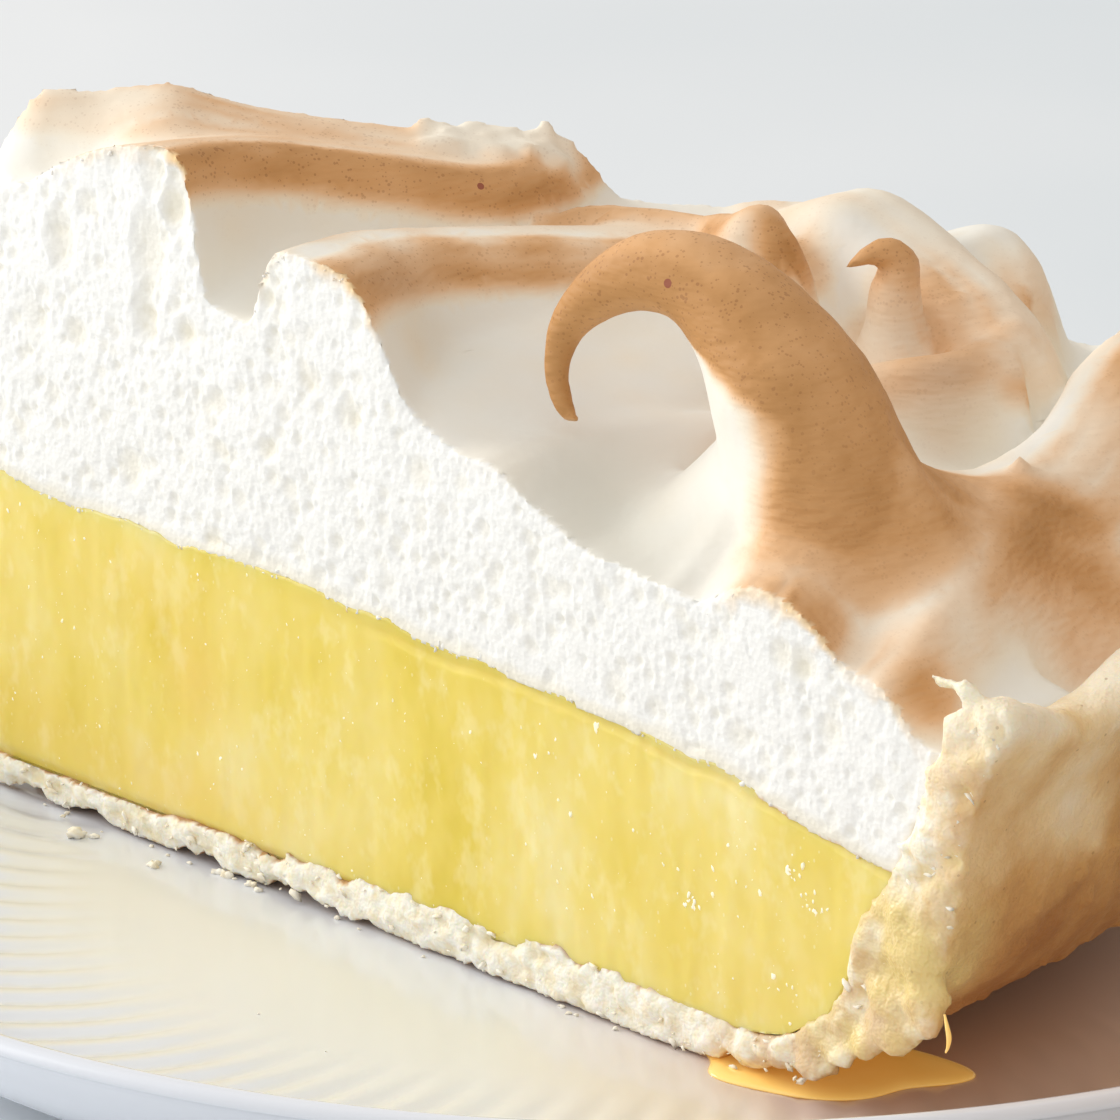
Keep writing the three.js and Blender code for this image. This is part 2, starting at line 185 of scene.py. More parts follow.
# from the floor upwards: the wall outside and inside, and what the filling touches
OUTER_WALL = np.array(OUTER_PROFILE[4:]).T
INNER_WALL = np.array(INNER_PROFILE[8::-1]).T
FILLED = np.array(INNER_PROFILE[:3:-1]).T


def crimped(radius, height, angle):
    wave = np.cos(2 * math.pi * (angle - CRIMP_PHASE) / CRIMP_PITCH)
    share = smoothstep(CRIMP_START, RIM_HEIGHT, height)
    return radius + CRIMP_LEAN * wave * share, height + CRIMP_RISE * wave * share


def crust_loop(angle):
    outer = smooth_rows(OUTER_PROFILE, 60)
    rim = smooth_rows([OUTER_PROFILE[-1], *RIM_PROFILE, INNER_PROFILE[0]], 12)[1:-1]
    inner = smooth_rows(INNER_PROFILE, 60)
    r, z = np.concatenate([outer, rim, inner]).T
    return np.stack(crimped(r, z, angle), 1)


def inner_radius(height, angle):
    r, z = crimped(*INNER_WALL, angle)
    return np.interp(height, z, r)


# ------------------------------------------------------------------ lemon and meringue levels
LEMON_TOP = [
    (TIP_RADIUS, 27.6), (20, 27), (40, 26.5), (60, 25.5), (76, 24.5), (88, 23.4), (98, 21.9),
    (LEMON_EDGE_RADIUS, LEMON_EDGE_HEIGHT),
]


def lemon_level(radius, angle):
    """Height of the line between filling and meringue, uneven as the two were spread."""
    radius = np.asarray(radius, float)
    place = np.stack([radius, np.full_like(radius, 60 * angle), np.zeros_like(radius)], 1)
    sway = 0.6 * noise(place, 11, 5) + 0.4 * noise(place, 4.2, 6) + 0.16 * noise(place, 1.3, 9)
    return table_value(LEMON_TOP, radius) + sway * smoothstep(107, 100, radius)


def level_at(points):
    """The filling's surface below or above each point."""
    return table_value(LEMON_TOP, radius_of(points))


# name, left and right power, browning on the left and right of the crest, partly painted light
# (the lit side kept paler, the shaded front band darker), and the path as x, y, crest height,
# left width, right width
FOLDS = [
    ("tip ridge", 2, 2, 0.5, 0.45, [
        (6.5, 3.6, 59.6, 9, 9), (10, 5, 59.2, 13, 14), (13, 6.3, 59.5, 18, 22), (15.5, 7.3, 59.7, 19, 24),
        (18, 8.4, 58.9, 20, 25), (22, 10, 57.6, 20, 26), (28, 12.6, 56.5, 20, 24), (36, 16.5, 55.2, 16, 20),
        (41, 20.5, 54.4, 14, 14)]),
    ("first ridge", 2, 4, 0.4, 0.86, [
        (21.5, -14, 59.3, 34, 5), (22.6, -9.6, 59.2, 32, 5), (25.5, -2.1, 58.2, 26, 5.2),
        (29.5, 2.5, 57.1, 20, 5.4), (35.5, 6.2, 55.8, 18, 6), (41, 10.5, 54.4, 18, 6.6),
        (42.5, 17, 53.8, 16, 7.6), (42.5, 24, 53.4, 16, 8)]),
    ("second ridge", 6, 3.4, 0.3, 0.86, [
        (38.2, -22, 53.8, 7.6, 11.5), (38, -16.8, 53.8, 7.6, 11.2), (39.3, -9, 53.2, 7.6, 10),
        (43.2, -2.2, 52.3, 7.6, 9), (48.5, 3.6, 51.3, 8, 9), (54.5, 8.6, 50.3, 9, 10),
        (61, 13, 49.4, 9, 11), (66, 20, 48.8, 9, 11)]),
    ("thin ridge", 2.4, 2.4, 0.7, 0.7, [
        (46.2, 10.4, 50.2, 3.4, 3.4), (49, 13.2, 51.3, 3.6, 3.6), (54, 14.2, 51.2, 3.6, 3.6),
        (59, 13.6, 51.2, 4, 4), (63, 11.4, 52.2, 5, 5)]),
    ("lobe", 2.6, 3, 0.7, 0.95, [
        (62, 12, 51.2, 7, 6.5), (65, 9.8, 53.9, 7, 6.5), (67.2, 8.6, 52.8, 5, 4.5)]),
    ("roll", 3, 5, 0.25, 0.4, [
        (62, 27, 48.8, 14, 9), (68, 24.4, 51.4, 12, 9.5), (73, 22, 50, 12, 10.5),
        (78.5, 19, 48, 10, 11.5), (83, 15.2, 46.2, 9, 11.5), (86, 11, 44.4, 8, 9)]),
    ("lip under the hook", 4, 2.2, 0.35, 0.3, [
        (85, 12, 44.4, 5, 6), (84.6, 8.6, 44.8, 6, 6), (82.3, 5.8, 44.7, 6, 6), (78.5, 4.2, 44.1, 6, 6),
        (74.5, 3.8, 43, 5, 6)]),
    ("foot of the hook", 1.6, 1.6, 0.25, 0.25, [(76, 9.6, 46.4, 4, 4), (78.8, 9, 45.8, 4, 4)]),
    ("back lobe", 3, 3.4, 0.2, 0.45, [
        (73, 31.5, 46.3, 9, 8), (76.5, 32, 47.2, 9, 8), (79, 31, 46.3, 7, 7.5), (81.3, 28, 44.2, 5, 6.5)]),
    ("rim ridge", 3.6, 2.4, 0.25, 0.8, [
        (84.5, -22, 46.5, 9, 16), (88, -13.5, 41.5, 9, 16), (91.5, -7.5, 39.4, 9, 18),
        (93.2, 0.5, 41.4, 5, 19), (94, 9, 44.6, 5, 19), (94.5, 18, 44.4, 6, 19),
        (93, 28, 42, 8, 20), (90, 40, 38.8, 9, 20)]),
    ("rim crest", 2, 2, 0.45, 0.3, [
        (93, -7, 39.8, 13, 20), (93.8, -14, 40, 12, 20), (94.5, -22, 39.8, 11, 20),
        (95.2, -31, 38.2, 11, 20), (95, -38.5, 36.4, 10, 20), (93.6, -44.5, 34, 9, 18),
        (92, -50, 31.8, 9, 16)]),
    ("skirt of the curl", 2.6, 2, 0.5, 0.5, [
        (80.5, -21.5, 51, 6, 9), (84.5, -22.3, 49.4, 6, 13), (88, -24, 46.4, 6, 16),
        (91, -25.6, 42.8, 6, 14), (93, -26.8, 39.4, 6, 8)]),
    ("flank of the curl", 1.2, 1.2, 0.6, 0.6, [
        (77.5, -20.5, 50.4, 6, 12), (79.5, -21.2, 50.8, 6, 12), (81.5, -22, 50, 6, 12)]),
    ("foot of the curl", 2.4, 2.4, 0.55, 0.55, [
        (84.5, -46, 38.2, 12, 14), (83.5, -36, 39.4, 12, 14), (83, -29, 42, 10, 14),
        (82.5, -24, 45, 8, 14)]),
    ("fold in the hollow", 2, 2, 0.0, 0.0, [
        (53.5, -31, 40.6, 14, 14), (58.5, -21, 42, 14, 14), (64.5, -14.5, 42.6, 13, 13),
        (71, -11, 43.4, 12, 12)]),
]
FOLD_CURVES = [smooth_rows(path, 40) for *_, path in FOLDS]
FOLD_DROP = 26.0                     # how deep a fold's sides can fall away
FOLD_BLEND = 0.9
# strokes of the flame: x, y, radius, amount; below zero where it stays pale. Some are painted
# light: (65, -28), (83.8, 2.4) and (82.5, 9) add painted shade to the hollow and the valley under
# the hook, the last also with the pillow's real browning; (64.5, 7.5) and (76.5, 30.5) are painted
# highlights on the lobes; the pale strokes along the second ridge's crest are partly painted highlight
FLAME_AND_PAINTED_LIGHT = [
    (80, -28, 7, 0.03), (85, -33, 6, -0.08), (91, -30, 5, -0.1), (88, -40, 5, 0.19), (46, -14, 4, 0.12),
    (98.3, -15, 7, 0.32), (97, -21, 6, 0.25), (101.5, -11, 7, 0.3), (97.5, -42, 3.5, 0.5),
    (103, -25, 6, 0.3), (104, -14, 6, 0.25), (65, -28, 8, 0.10), (72, -3, 5, 0.06), (64.5, 7.5, 2.8, -0.7),
    (91, -8, 3, -0.3), (93, -16, 3, -0.3), (94.3, -24, 3.4, -0.25), (94.8, -32, 4, -0.1),
    (66, 27, 6, -0.1), (96, 1, 6, -0.35), (97, -5, 4, -0.42), (10, 2, 6, -0.25),
    (38.6, -14, 3, -0.5), (41, -8, 3, -0.5), (46, -1, 3, -0.45), (52, 4.5, 3, -0.4),
    (82.5, 9, 4, 0.2), (83.8, 2.4, 4, 0.34), (78, 14, 4, 0.2), (60, -2, 5, 0.08), (70, 17, 5, -0.5),
    (68, 8, 3.5, 0.45), (82, 28, 3.5, 0.15), (76.5, 30.5, 3.5, -0.4),
]
# the foam between the folds: radius, height; it rises a little away from the near cut
FLOOR_LEVEL = [
    (0, 49), (20, 47.5), (34, 46.9), (47, 44.6), (53, 43.8), (58, 42), (66, 39.9), (72.5, 37.5),
    (79, 36.2), (88, 35), (97, 34.3), (103, 33.2), (106, 31), (108.5, 28),
]
FLOOR_TILT = 0.16


def floor_height(x, y):
    radius = np.hypot(x, y)
    behind_cut = (y + x * math.tan(HALF)) * math.cos(HALF)
    middle = np.exp(-(((radius - 62) / 22) ** 2))
    return table_value(FLOOR_LEVEL, radius) + FLOOR_TILT * np.clip(behind_cut, 0, 60) * middle


def fold_height(index, x, y):
    """Height of one fold, its browning with a paler lit side and darker shaded side as partly painted light,
    and its drawn-out streaks, at each point.
    """
    _, left_power, right_power, left_toast, right_toast, _ = FOLDS[index]
    curve = FOLD_CURVES[index]
    nearest = np.full((5, *x.shape), np.inf)
    travelled = 0.0
    for start, end in zip(curve[:-1], curve[1:]):
        dx, dy = (end - start)[:2]
        length = math.hypot(dx, dy)
        t = np.clip(((x - start[0]) * dx + (y - start[1]) * dy) / length**2, 0, 1)
        crest, left_width, right_width = (mix(start[k], end[k], t) for k in (2, 3, 4))
        distance = np.hypot(x - start[0] - t * dx, y - start[1] - t * dy)
        left = dx * (y - start[1]) - dy * (x - start[0]) > 0
        width = np.where(left, left_width, right_width)
        spread = (distance / width) ** np.where(left, left_power, right_power)
        here = [distance, crest, spread, np.where(left, -distance, distance), travelled + t * length]
        nearest = np.where(distance < nearest[0], here, nearest)
        travelled += length
    _, crest, spread, aside, along = nearest
    drop = FOLD_DROP * spread / (1 + spread)
    streak = noise(np.stack([aside / 0.9, along / 7, np.full(x.shape, 3.7 * index)], 1), 1.0, 14)
    # partly painted light: the lit side is kept paler, the shaded front band darker
    shade = mix(left_toast, right_toast, smoothstep(-0.4, 1.4, aside))
    fade = mix(1 - smoothstep(1, 6, drop), 1 - smoothstep(2.2, 4.8, drop), smoothstep(-0.5, 0.5, aside))
    return crest - drop, shade * fade, streak


def meringue_top(x, y):
    """Top height, how browned the top is there from 0 to 1 with some painted shade and highlights among the
    strokes, and its streaks.
    """
    plain = np.zeros(x.shape)
    rows = [(floor_height(x, y), plain, plain)]
    rows += [fold_height(index, x, y) for index in range(len(FOLDS))]
    heights, toast, streaks = (np.array(part) for part in zip(*rows))
    highest = heights.max(0)
    weight = np.exp((heights - highest) / FOLD_BLEND)
    total = weight.sum(0)
    shade = brushed(FLAME_AND_PAINTED_LIGHT, x, y, (weight * toast).sum(0) / total)
    streak = (weight * streaks).sum(0) / total
    return highest + FOLD_BLEND * (np.log(total) - 0.39), np.clip(shade, 0, 1), streak


def meringue_loops(angles):
    """The foam's sections: its underside, up the wall, and back over the top."""
    def edges_under(brims):
        return np.array([inner_radius(brim, angle) for brim, angle in zip(brims, angles)]) + GAP

    brims = np.full(len(angles), 33.0)
    for _ in range(6):
        r = edges_under(brims)
        brims = 0.5 * brims + 0.5 * meringue_top(r * np.cos(angles), r * np.sin(angles))[0]
    radii = mix(edges_under(brims)[:, None], TIP_RADIUS, np.linspace(0, 1, 220)[None, 1:])
    x, y = radii * np.cos(angles)[:, None], radii * np.sin(angles)[:, None]
    tops = meringue_top(x.ravel(), y.ravel())[0].reshape(radii.shape)
    low = np.linspace(TIP_RADIUS, LEMON_EDGE_RADIUS - 0.2, 150)
    loops = []
    for angle, brim, radius, top in zip(angles, brims, radii, tops):
        height = np.linspace(LEMON_EDGE_HEIGHT + 1.2 * GAP, brim, 14)
        bottom = np.stack([low, lemon_level(low, angle) - TUCK], 1)
        wall = np.stack([inner_radius(height, angle) + GAP, height], 1)
        loops.append(np.concatenate([bottom, wall, np.stack([radius, top], 1)]))
    return loops


# spines of the peaks: x, y, z, half the width across, half the depth
BIG_CURL = [
    (61.3, -19.8, 43.4, 0.35, 0.35), (59.9, -19.2, 44.7, 0.85, 0.9), (59.1, -18.6, 47.3, 1.05, 1.1),
    (59.9, -18.2, 50.7, 1.5, 1.6), (62.7, -18.4, 53.8, 2.2, 2.4), (66.4, -18.9, 55.8, 2.95, 3.3),
    (70.1, -19.4, 56, 3.4, 4), (73.1, -19.7, 54.7, 4.1, 5), (75.8, -20.2, 52.4, 5, 6.4),
    (78.4, -20.8, 49, 6.2, 8.2), (80.8, -21.8, 45, 6.8, 8.6), (83, -23, 39.8, 7.6, 9.2),
    (85, -24.5, 33.3, 8, 9.6),
]
SMALL_HOOK = [
    (73.6, 6.1, 50, 0.25, 0.4), (75, 7.2, 50.9, 0.75, 1.2), (76.4, 8.2, 51.2, 1.2, 1.6),
    (77.3, 8.8, 50, 1.55, 2), (76.9, 8.9, 47.6, 2.1, 2.5), (76.8, 9.4, 44.5, 2.6, 3.2),
    (76.8, 9.6, 40.5, 4.6, 5),
]
TINY_TIP = [
    (92.7, -7.9, 41.1, 0.15, 0.2), (92.8, -7.85, 40.7, 0.4, 0.45), (93, -7.8, 40.1, 0.8, 0.9),
    (93.2, -7.7, 39, 1.5, 1.6),
]
CURL_DEPTH = np.array([-0.366, 0.93, 0.0])     # the way along which a peak's depth is measured


# ------------------------------------------------------------------ mesh helpers
def tube_faces(rings, sides, flipped=False):
    """Quads between rings of points, and a cap at each end."""
    i, j = np.meshgrid(np.arange(rings - 1), np.arange(sides), indexing="ij")
    a, b = i * sides + j, i * sides + (j + 1) % sides
    quads = np.stack([a, b, b + sides, a + sides], -1).reshape(-1, 4).tolist()
    first, last = list(range(sides)), list(range((rings - 1) * sides, rings * sides))
    return quads + ([first, last[::-1]] if flipped else [first[::-1], last])


def wedge_body(loops, angles):
    """One closed body through the sections of radius and height, each turned to its angle."""
    rings = [at(loop[:, 0], angle, loop[:, 1]).T for loop, angle in zip(loops, angles)]
    return np.concatenate(rings), tube_faces(len(rings), len(rings[0]))


def swept_peak(rows, rings, sides):
    spine = smooth_rows(rows, rings)
    points = spine[:, :3]
    along = np.gradient(points, axis=0)
    along /= np.linalg.norm(along, axis=1)[:, None]
    across = np.cross(along, CURL_DEPTH)
    across /= np.linalg.norm(across, axis=1)[:, None]
    depth = np.cross(across, along)
    turn = np.linspace(0, 2 * math.pi, sides, endpoint=False)[None, :, None]
    wide = spine[:, None, 3:4] * across[:, None] * np.cos(turn)
    deep = spine[:, None, 4:5] * depth[:, None] * np.sin(turn)
    return (points[:, None] + wide + deep).reshape(-1, 3), tube_faces(rings, sides)


def blob(centre, size, seed, lumps=0.25, rings=6, sides=8):
    """A small closed lump with an uneven skin."""
    polar = np.linspace(0.08, math.pi - 0.08, rings)[:, None]
    turn = np.linspace(0, 2 * math.pi, sides, endpoint=False)[None]
    unit = [np.sin(polar) * np.cos(turn), np.sin(polar) * np.sin(turn), np.cos(polar)]
    unit = np.stack(np.broadcast_arrays(*unit), -1).reshape(-1, 3)
    swell = 1 + lumps * noise(unit * 1.6 + seed * 3.1, 1.0, seed)
    return np.asarray(centre) + unit * swell[:, None] * np.asarray(size), tube_faces(rings, sides, True)


def turned_blob(centre, size, seed, angle, lean=0.0, **shape):
    """A lump that is leaned about Y and turned to a cut before it is put in its place."""
    verts, faces = blob((0, 0, 0), size, seed, **shape)
    spin = Matrix.Rotation(angle, 3, "Z") @ Matrix.Rotation(lean, 3, "Y")
    return verts @ np.array(spin).T + centre, faces


def joined(parts):
    verts, faces, start = [], [], 0
    for v, f in parts:
        verts.append(v)
        faces += [[i + start for i in face] for face in f]
        start += len(v)
    return np.concatenate(verts), faces


def new_mesh(name, verts, faces):
    mesh = bpy.data.meshes.new(name)
    mesh.from_pydata(np.asarray(verts).tolist(), [], faces)
    mesh.update()
    return mesh


def arrays_of(mesh):
    """The mesh as arrays; the mesh is removed."""
    verts = np.empty(len(mesh.vertices) * 3)
    mesh.vertices.foreach_get("co", verts)
    faces = [list(p.vertices) for p in mesh.polygons]
    bpy.data.meshes.remove(mesh)
    return verts.reshape(-1, 3), faces


def placed(name, data):
    """A new object in the scene for a mesh, a light or a camera."""
    thing = bpy.data.objects.new(name, data)
    bpy.context.scene.collection.objects.link(thing)
    return thing


def outward(thing):
    work = bmesh.new()
    work.from_mesh(thing.data)
    bmesh.ops.recalc_face_normals(work, faces=work.faces)
    work.to_mesh(thing.data)
    work.free()
    return thing


def changed(thing, kind, **settings):
    """The thing's mesh after one modifier, as arrays; the thing is removed."""
    modifier = thing.modifiers.new("change", kind)
    for key, value in settings.items():
        setattr(modifier, key, value)
    shown = thing.evaluated_get(bpy.context.evaluated_depsgraph_get())
    mesh = bpy.data.meshes.new_from_object(shown)
    bpy.data.objects.remove(thing)
    return arrays_of(mesh)


def fused(parts, voxel):
    """One closed skin round overlapping closed parts."""
    thing = outward(placed("fusing", new_mesh("fusing", *joined(parts))))
    return changed(thing, "REMESH", mode="VOXEL", voxel_size=voxel)


def trimmed(part, block):
    """The share of a closed part that lies inside a closed block."""
    thing, knife = (outward(placed("cutting", new_mesh("cutting", *body))) for body in (part, block))
    result = changed(thing, "BOOLEAN", operation="INTERSECT", solver="MANIFOLD", object=knife)
    bpy.data.objects.remove(knife)
    return result


def thinned(verts, faces, spare, ratio):
    """The same skin with fewer faces where spare is above 0."""
    thing = placed("thinning", new_mesh("thinning", verts, faces))
    group = thing.vertex_groups.new(name="spare")
    for amount in np.unique(spare[spare > 0]):
        group.add(np.flatnonzero(spare == amount).tolist(), float(amount), "REPLACE")
    return changed(thing, "DECIMATE", ratio=ratio, vertex_group="spare", vertex_group_factor=1000)


def refined(verts, faces, fine):
    """Splits the edges whose two ends are marked fine."""
    mesh = new_mesh("refining", verts, faces)
    work = bmesh.new()
    work.from_mesh(mesh)
    chosen = [edge for edge in work.edges if all(fine[end.index] for end in edge.verts)]
    bmesh.ops.subdivide_edges(work, edges=chosen, cuts=1, use_grid_fill=True)
    work.to_mesh(mesh)
    work.free()
    return arrays_of(mesh)


def edges_of(faces):
    pairs = (pair for face in faces for pair in zip(face, face[1:] + face[:1]))
    return np.array(sorted({(a, b) if a < b else (b, a) for a, b in pairs}))


def relaxed(verts, edges, rounds, share, back=-0.5):
    """Evens the skin out where share is above 0; the steps back keep it from shrinking."""
    verts = verts.copy()
    count = np.bincount(edges.ravel(), minlength=len(verts))[:, None]
    for step in range(rounds):
        total = np.zeros_like(verts)
        np.add.at(total, edges[:, 0], verts[edges[:, 1]])
        np.add.at(total, edges[:, 1], verts[edges[:, 0]])
        pull = 0.6 if step % 2 == 0 else back
        verts += pull * share[:, None] * (total / np.maximum(count, 1) - verts)
    return verts


def normals_of(verts, faces):
    normals = np.zeros_like(verts)
    for size in (4, 3):
        group = np.array([face for face in faces if len(face) == size]).reshape(-1, size)
        a, b, c = (verts[group[:, k]] for k in range(3))
        flat = np.cross(b - a, c - a)
        for k in range(size):
            np.add.at(normals, group[:, k], flat)
    return normals / np.maximum(np.linalg.norm(normals, axis=1)[:, None], 1e-12)


def piece(name, verts, faces, material, slot, node=None, look=None, place=PIE):
    """Makes a finished piece from millimetres in the pie's frame."""
    mesh = new_mesh(name, (np.asarray(verts) + place) * MM, faces)
    mesh.polygons.foreach_set("use_smooth", np.ones(len(mesh.polygons), bool))
    if look is not None:
        colours = np.ones((len(verts), 4))
        colours[:, : look.shape[1]] = look
        layer = mesh.color_attributes.new("look", "FLOAT_COLOR", "POINT")
        layer.data.foreach_set("color", colours.ravel())
    mesh.materials.append(material)
    thing = outward(placed(name, mesh))
    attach(thing, "root")
    if node:
        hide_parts(node)
    return thing


# ------------------------------------------------------------------ materials
class Graph:
    """Short calls for the shader nodes of one material, or of the world."""

    def __init__(self, owner, space="Object"):
        owner.use_nodes = True
        self.owner, self.tree = owner, owner.node_tree
        self.place = self.tree.nodes.new("ShaderNodeTexCoord").outputs[space]

    def feed(self, socket, value):
        """Links a socket to another, or gives it a value of its own."""
        if isinstance(value, bpy.types.NodeSocket):
            self.tree.links.new(value, socket)
        else:
            socket.default_value = (*value, 1) if socket.type == "RGBA" else value

    def node(self, kind, *values, **settings):
        """A new node with its settings, and values for its inputs by order or by name."""
        made = self.tree.nodes.new("ShaderNode" + kind)
        for key, value in settings.items():
            if hasattr(made, key):
                setattr(made, key, value)
            else:
                self.feed(made.inputs[key.replace("_", " ")], value)
        for socket, value in zip(made.inputs, values):
            self.feed(socket, value)
        return made

    def surface(self, **values):
        """Sets the surface's own values; gives the finished material."""
        for key, value in values.items():
            self.feed(self.tree.nodes["Principled BSDF"].inputs[key.replace("_", " ")], value)
        return self.owner

    def looks(self):
        """The piece's painted masks: red, green and blue."""
        layer = self.node("Attribute", attribute_name="look")
        return list(self.node("SeparateColor", layer.outputs["Color"]).outputs)

    def noise(self, scale, detail=3.0, roughness=0.5, place=None):
        made = self.node("TexNoise", place or self.place, Scale=scale, Detail=detail, Roughness=roughness)
        return made.outputs["Fac"]

    def cells(self, scale, place=None):
        """Distance from the middle of each cell of an uneven net."""
        return self.node("TexVoronoi", Vector=place or self.place, Scale=scale).outputs["Distance"]

    def spots(self, scale, size, place=None):
        return self.maths("LESS_THAN", self.cells(scale, place), size)

    def stretched(self, **settings):
        return self.node("Mapping", Vector=self.place, **settings).outputs["Vector"]

    def measured(self, operation, vector):
        """Distance of the place from a point, or how far it lies along a direction."""
        return self.node("VectorMath", self.place, vector.tolist(), operation=operation).outputs["Value"]

    def maths(self, operation, *values, clamp=False):
        return self.node("Math", *values, operation=operation, use_clamp=clamp).outputs["Value"]

    def times(self, first, second, clamp=False):
        return self.maths("MULTIPLY", first, second, clamp=clamp)

    def scaled(self, value, factor, offset):
        return self.maths("MULTIPLY_ADD", value, factor, offset)

    def ramp(self, source, *stops):
        """Colours along a value, each as position, red, green and blue."""
        made = self.node("ValToRGB", source)
        elements = made.color_ramp.elements
        while len(elements) < len(stops):
            elements.new(0.5)
        for element, (position, *colour) in zip(elements, stops):
            element.position = position
            element.color = (*colour, 1)
        return made.outputs["Color"]

    def mixed(self, share, first, second):
        made = self.node("Mix", data_type="RGBA", Factor=share, A=first, B=second)
        return made.outputs["Result"]

    def bump(self, height, strength, distance):
        return self.node("Bump", Height=height, Strength=strength, Distance=distance).outputs["Normal"]


# burst bubbles of sugar on the browned skin: place and radius
SPOTS = [(69.9, -23.3, 56.5, 0.36), (42.2, 7.6, 53.2, 0.3)]
# pits in the browned skin: cells a metre, size of their clusters, and the pits' size in a cell
PITS = [(2500.0, 900, 0.8, -0.20), (1250.0, 500, 0.5, -0.165)]


def meringue_material():
    graph = Graph(bpy.data.materials.new("meringue"))
    toast, cut, pore = graph.looks()
    grain = graph.noise(900, 1)
    uneven = graph.scaled(graph.noise(110, 3, 0.6), 0.30, -0.15)
    uneven = graph.times(uneven, graph.times(toast, 2.0, clamp=True))
    browned = graph.ramp(
        graph.maths("ADD", toast, uneven, clamp=True), (0.0, 0.88, 0.86, 0.79), (0.13, 0.90, 0.83, 0.70),
        (0.33, 0.88, 0.705, 0.52), (0.58, 0.80, 0.51, 0.285), (0.82, 0.66, 0.355, 0.145),
        (1.0, 0.53, 0.265, 0.09))
    # painted shade: where the blue mask is set on the top skin, the browned colour is greyed towards this
    # darker colour
    top = graph.mixed(pore, browned, graph.mixed(0.9, browned, (0.66, 0.645, 0.57)))
    height = graph.node("SeparateXYZ", graph.place).outputs["Z"]
    levels = [(PIE[2] + level) * MM for level in (44, 55)]
    high = graph.node("MapRange", height, *levels, 0.35, 1.0).outputs["Result"]
    pits = 0.0
    for scale, cluster, wide, offset in PITS:
        found = graph.spots(scale, graph.scaled(graph.noise(cluster, 1), wide, offset))
        pits = graph.maths("MAXIMUM", graph.times(found, 0.5), pits)
    top = graph.mixed(graph.times(graph.times(pits, toast), high), top, (0.30, 0.12, 0.04))
    for *place, size in SPOTS:
        spot = graph.maths("LESS_THAN", graph.measured("DISTANCE", (PIE + place) * MM), size * MM)
        top = graph.mixed(spot, top, (0.33, 0.10, 0.055))
    # painted shade: the blue mask darkens the pits of the cut faces towards a warmer cream; near the filling
    # it is a real yellow tinge
    inside = graph.ramp(pore, (0.0, 0.90, 0.90, 0.875), (1.0, 0.86, 0.82, 0.70))
    crumb = graph.mixed(toast, inside, (0.86, 0.60, 0.30))
    wrinkled = graph.noise(1500, 1, 0.6, graph.stretched(Scale=(0.3, 0.3, 1.0)))
    wrinkled = graph.times(wrinkled, graph.maths("SUBTRACT", 1.35, high))
    skin = graph.maths("ADD", graph.times(wrinkled, graph.times(toast, 13.0)), grain)
    foam = graph.times(graph.times(graph.cells(2300.0), cut), 1.2)
    return graph.surface(
        Base_Color=graph.mixed(cut, top, crumb), Roughness=0.6, Specular_IOR_Level=0.35,
        Normal=graph.bump(graph.maths("ADD", skin, foam), 0.3, 0.00014))


def crust_material(name, glow, relief):
    graph = Graph(bpy.data.materials.new(name))
    inside, toast, soaked = graph.looks()
    shade = graph.maths("ADD", graph.scaled(graph.noise(120, 4, 0.6), 0.9, -0.45), toast, clamp=True)
    outer = graph.ramp(
        shade, (0.0, 0.93, 0.82, 0.62), (0.33, 0.85, 0.62, 0.32), (0.62, 0.66, 0.37, 0.125),
        (1.0, 0.43, 0.195, 0.055))
    pale = graph.ramp(graph.noise(1100, 1, 0.6), (0.3, 0.94, 0.84, 0.63), (0.6, 0.98, 0.94, 0.83))
    colour = graph.mixed(soaked, graph.mixed(inside, outer, pale), (0.79, 0.62, 0.255))
    dots = graph.times(graph.times(graph.spots(620.0, 0.08), 0.4), graph.maths("SUBTRACT", 1.0, inside))
    return graph.surface(
        Base_Color=graph.mixed(dots, colour, (0.26, 0.11, 0.035)),
        Roughness=graph.scaled(soaked, -0.4, 0.72), Subsurface_Weight=glow,
        Subsurface_Radius=(1.0, 0.6, 0.25), Subsurface_Scale=0.0018,
        Normal=graph.bump(graph.noise(2200, 1, 0.6), relief, 0.0004))


def lemon_material():
    graph = Graph(bpy.data.materials.new("lemon_curd"))
    strip, warm, pale = graph.looks()
    streaks = graph.stretched(Scale=(1, 1, 0.7), Rotation=(0.25, 0.35, 0))
    base = graph.ramp(
        graph.noise(62, 4, 0.62, streaks), (0.36, 0.77, 0.60, 0.07), (0.45, 0.835, 0.665, 0.125),
        (0.55, 0.87, 0.71, 0.19), (0.68, 0.91, 0.79, 0.36))
    wisps = graph.ramp(graph.noise(300, 3, 0.65, streaks), (0.53, 0.0, 0.0, 0.0), (0.66, 0.3, 0.3, 0.3))
    base = graph.mixed(wisps, base, (0.97, 0.88, 0.50))
    for mask, amount, colour in (
            (graph.spots(900.0, 0.1, streaks), 0.35, (0.97, 0.90, 0.60)), (strip, 0.45, (0.80, 0.60, 0.09)),
            (warm, 0.45, (0.88, 0.58, 0.12)), (pale, 0.4, (0.93, 0.80, 0.38))):
        base = graph.mixed(graph.times(mask, amount), base, colour)
    return graph.surface(
        Base_Color=base, Roughness=0.34, Subsurface_Weight=0.5, Subsurface_Radius=(1.0, 0.75, 0.25),
        Subsurface_Scale=0.002, Normal=graph.bump(graph.noise(420, 1, 0.5, streaks), 0.3, 0.0002))


def bubble_material():
    graph = Graph(bpy.data.materials.new("bubbles"))
    tint = graph.ramp(graph.noise(600, 2), (0.3, 0.97, 0.90, 0.60), (0.7, 1.0, 0.97, 0.84))
    # painted glow: a faint warm emission stands in for light passing through the bubbles
    return graph.surface(
        Base_Color=tint, Roughness=0.5, Emission_Color=(1.0, 0.88, 0.45), Emission_Strength=0.12)


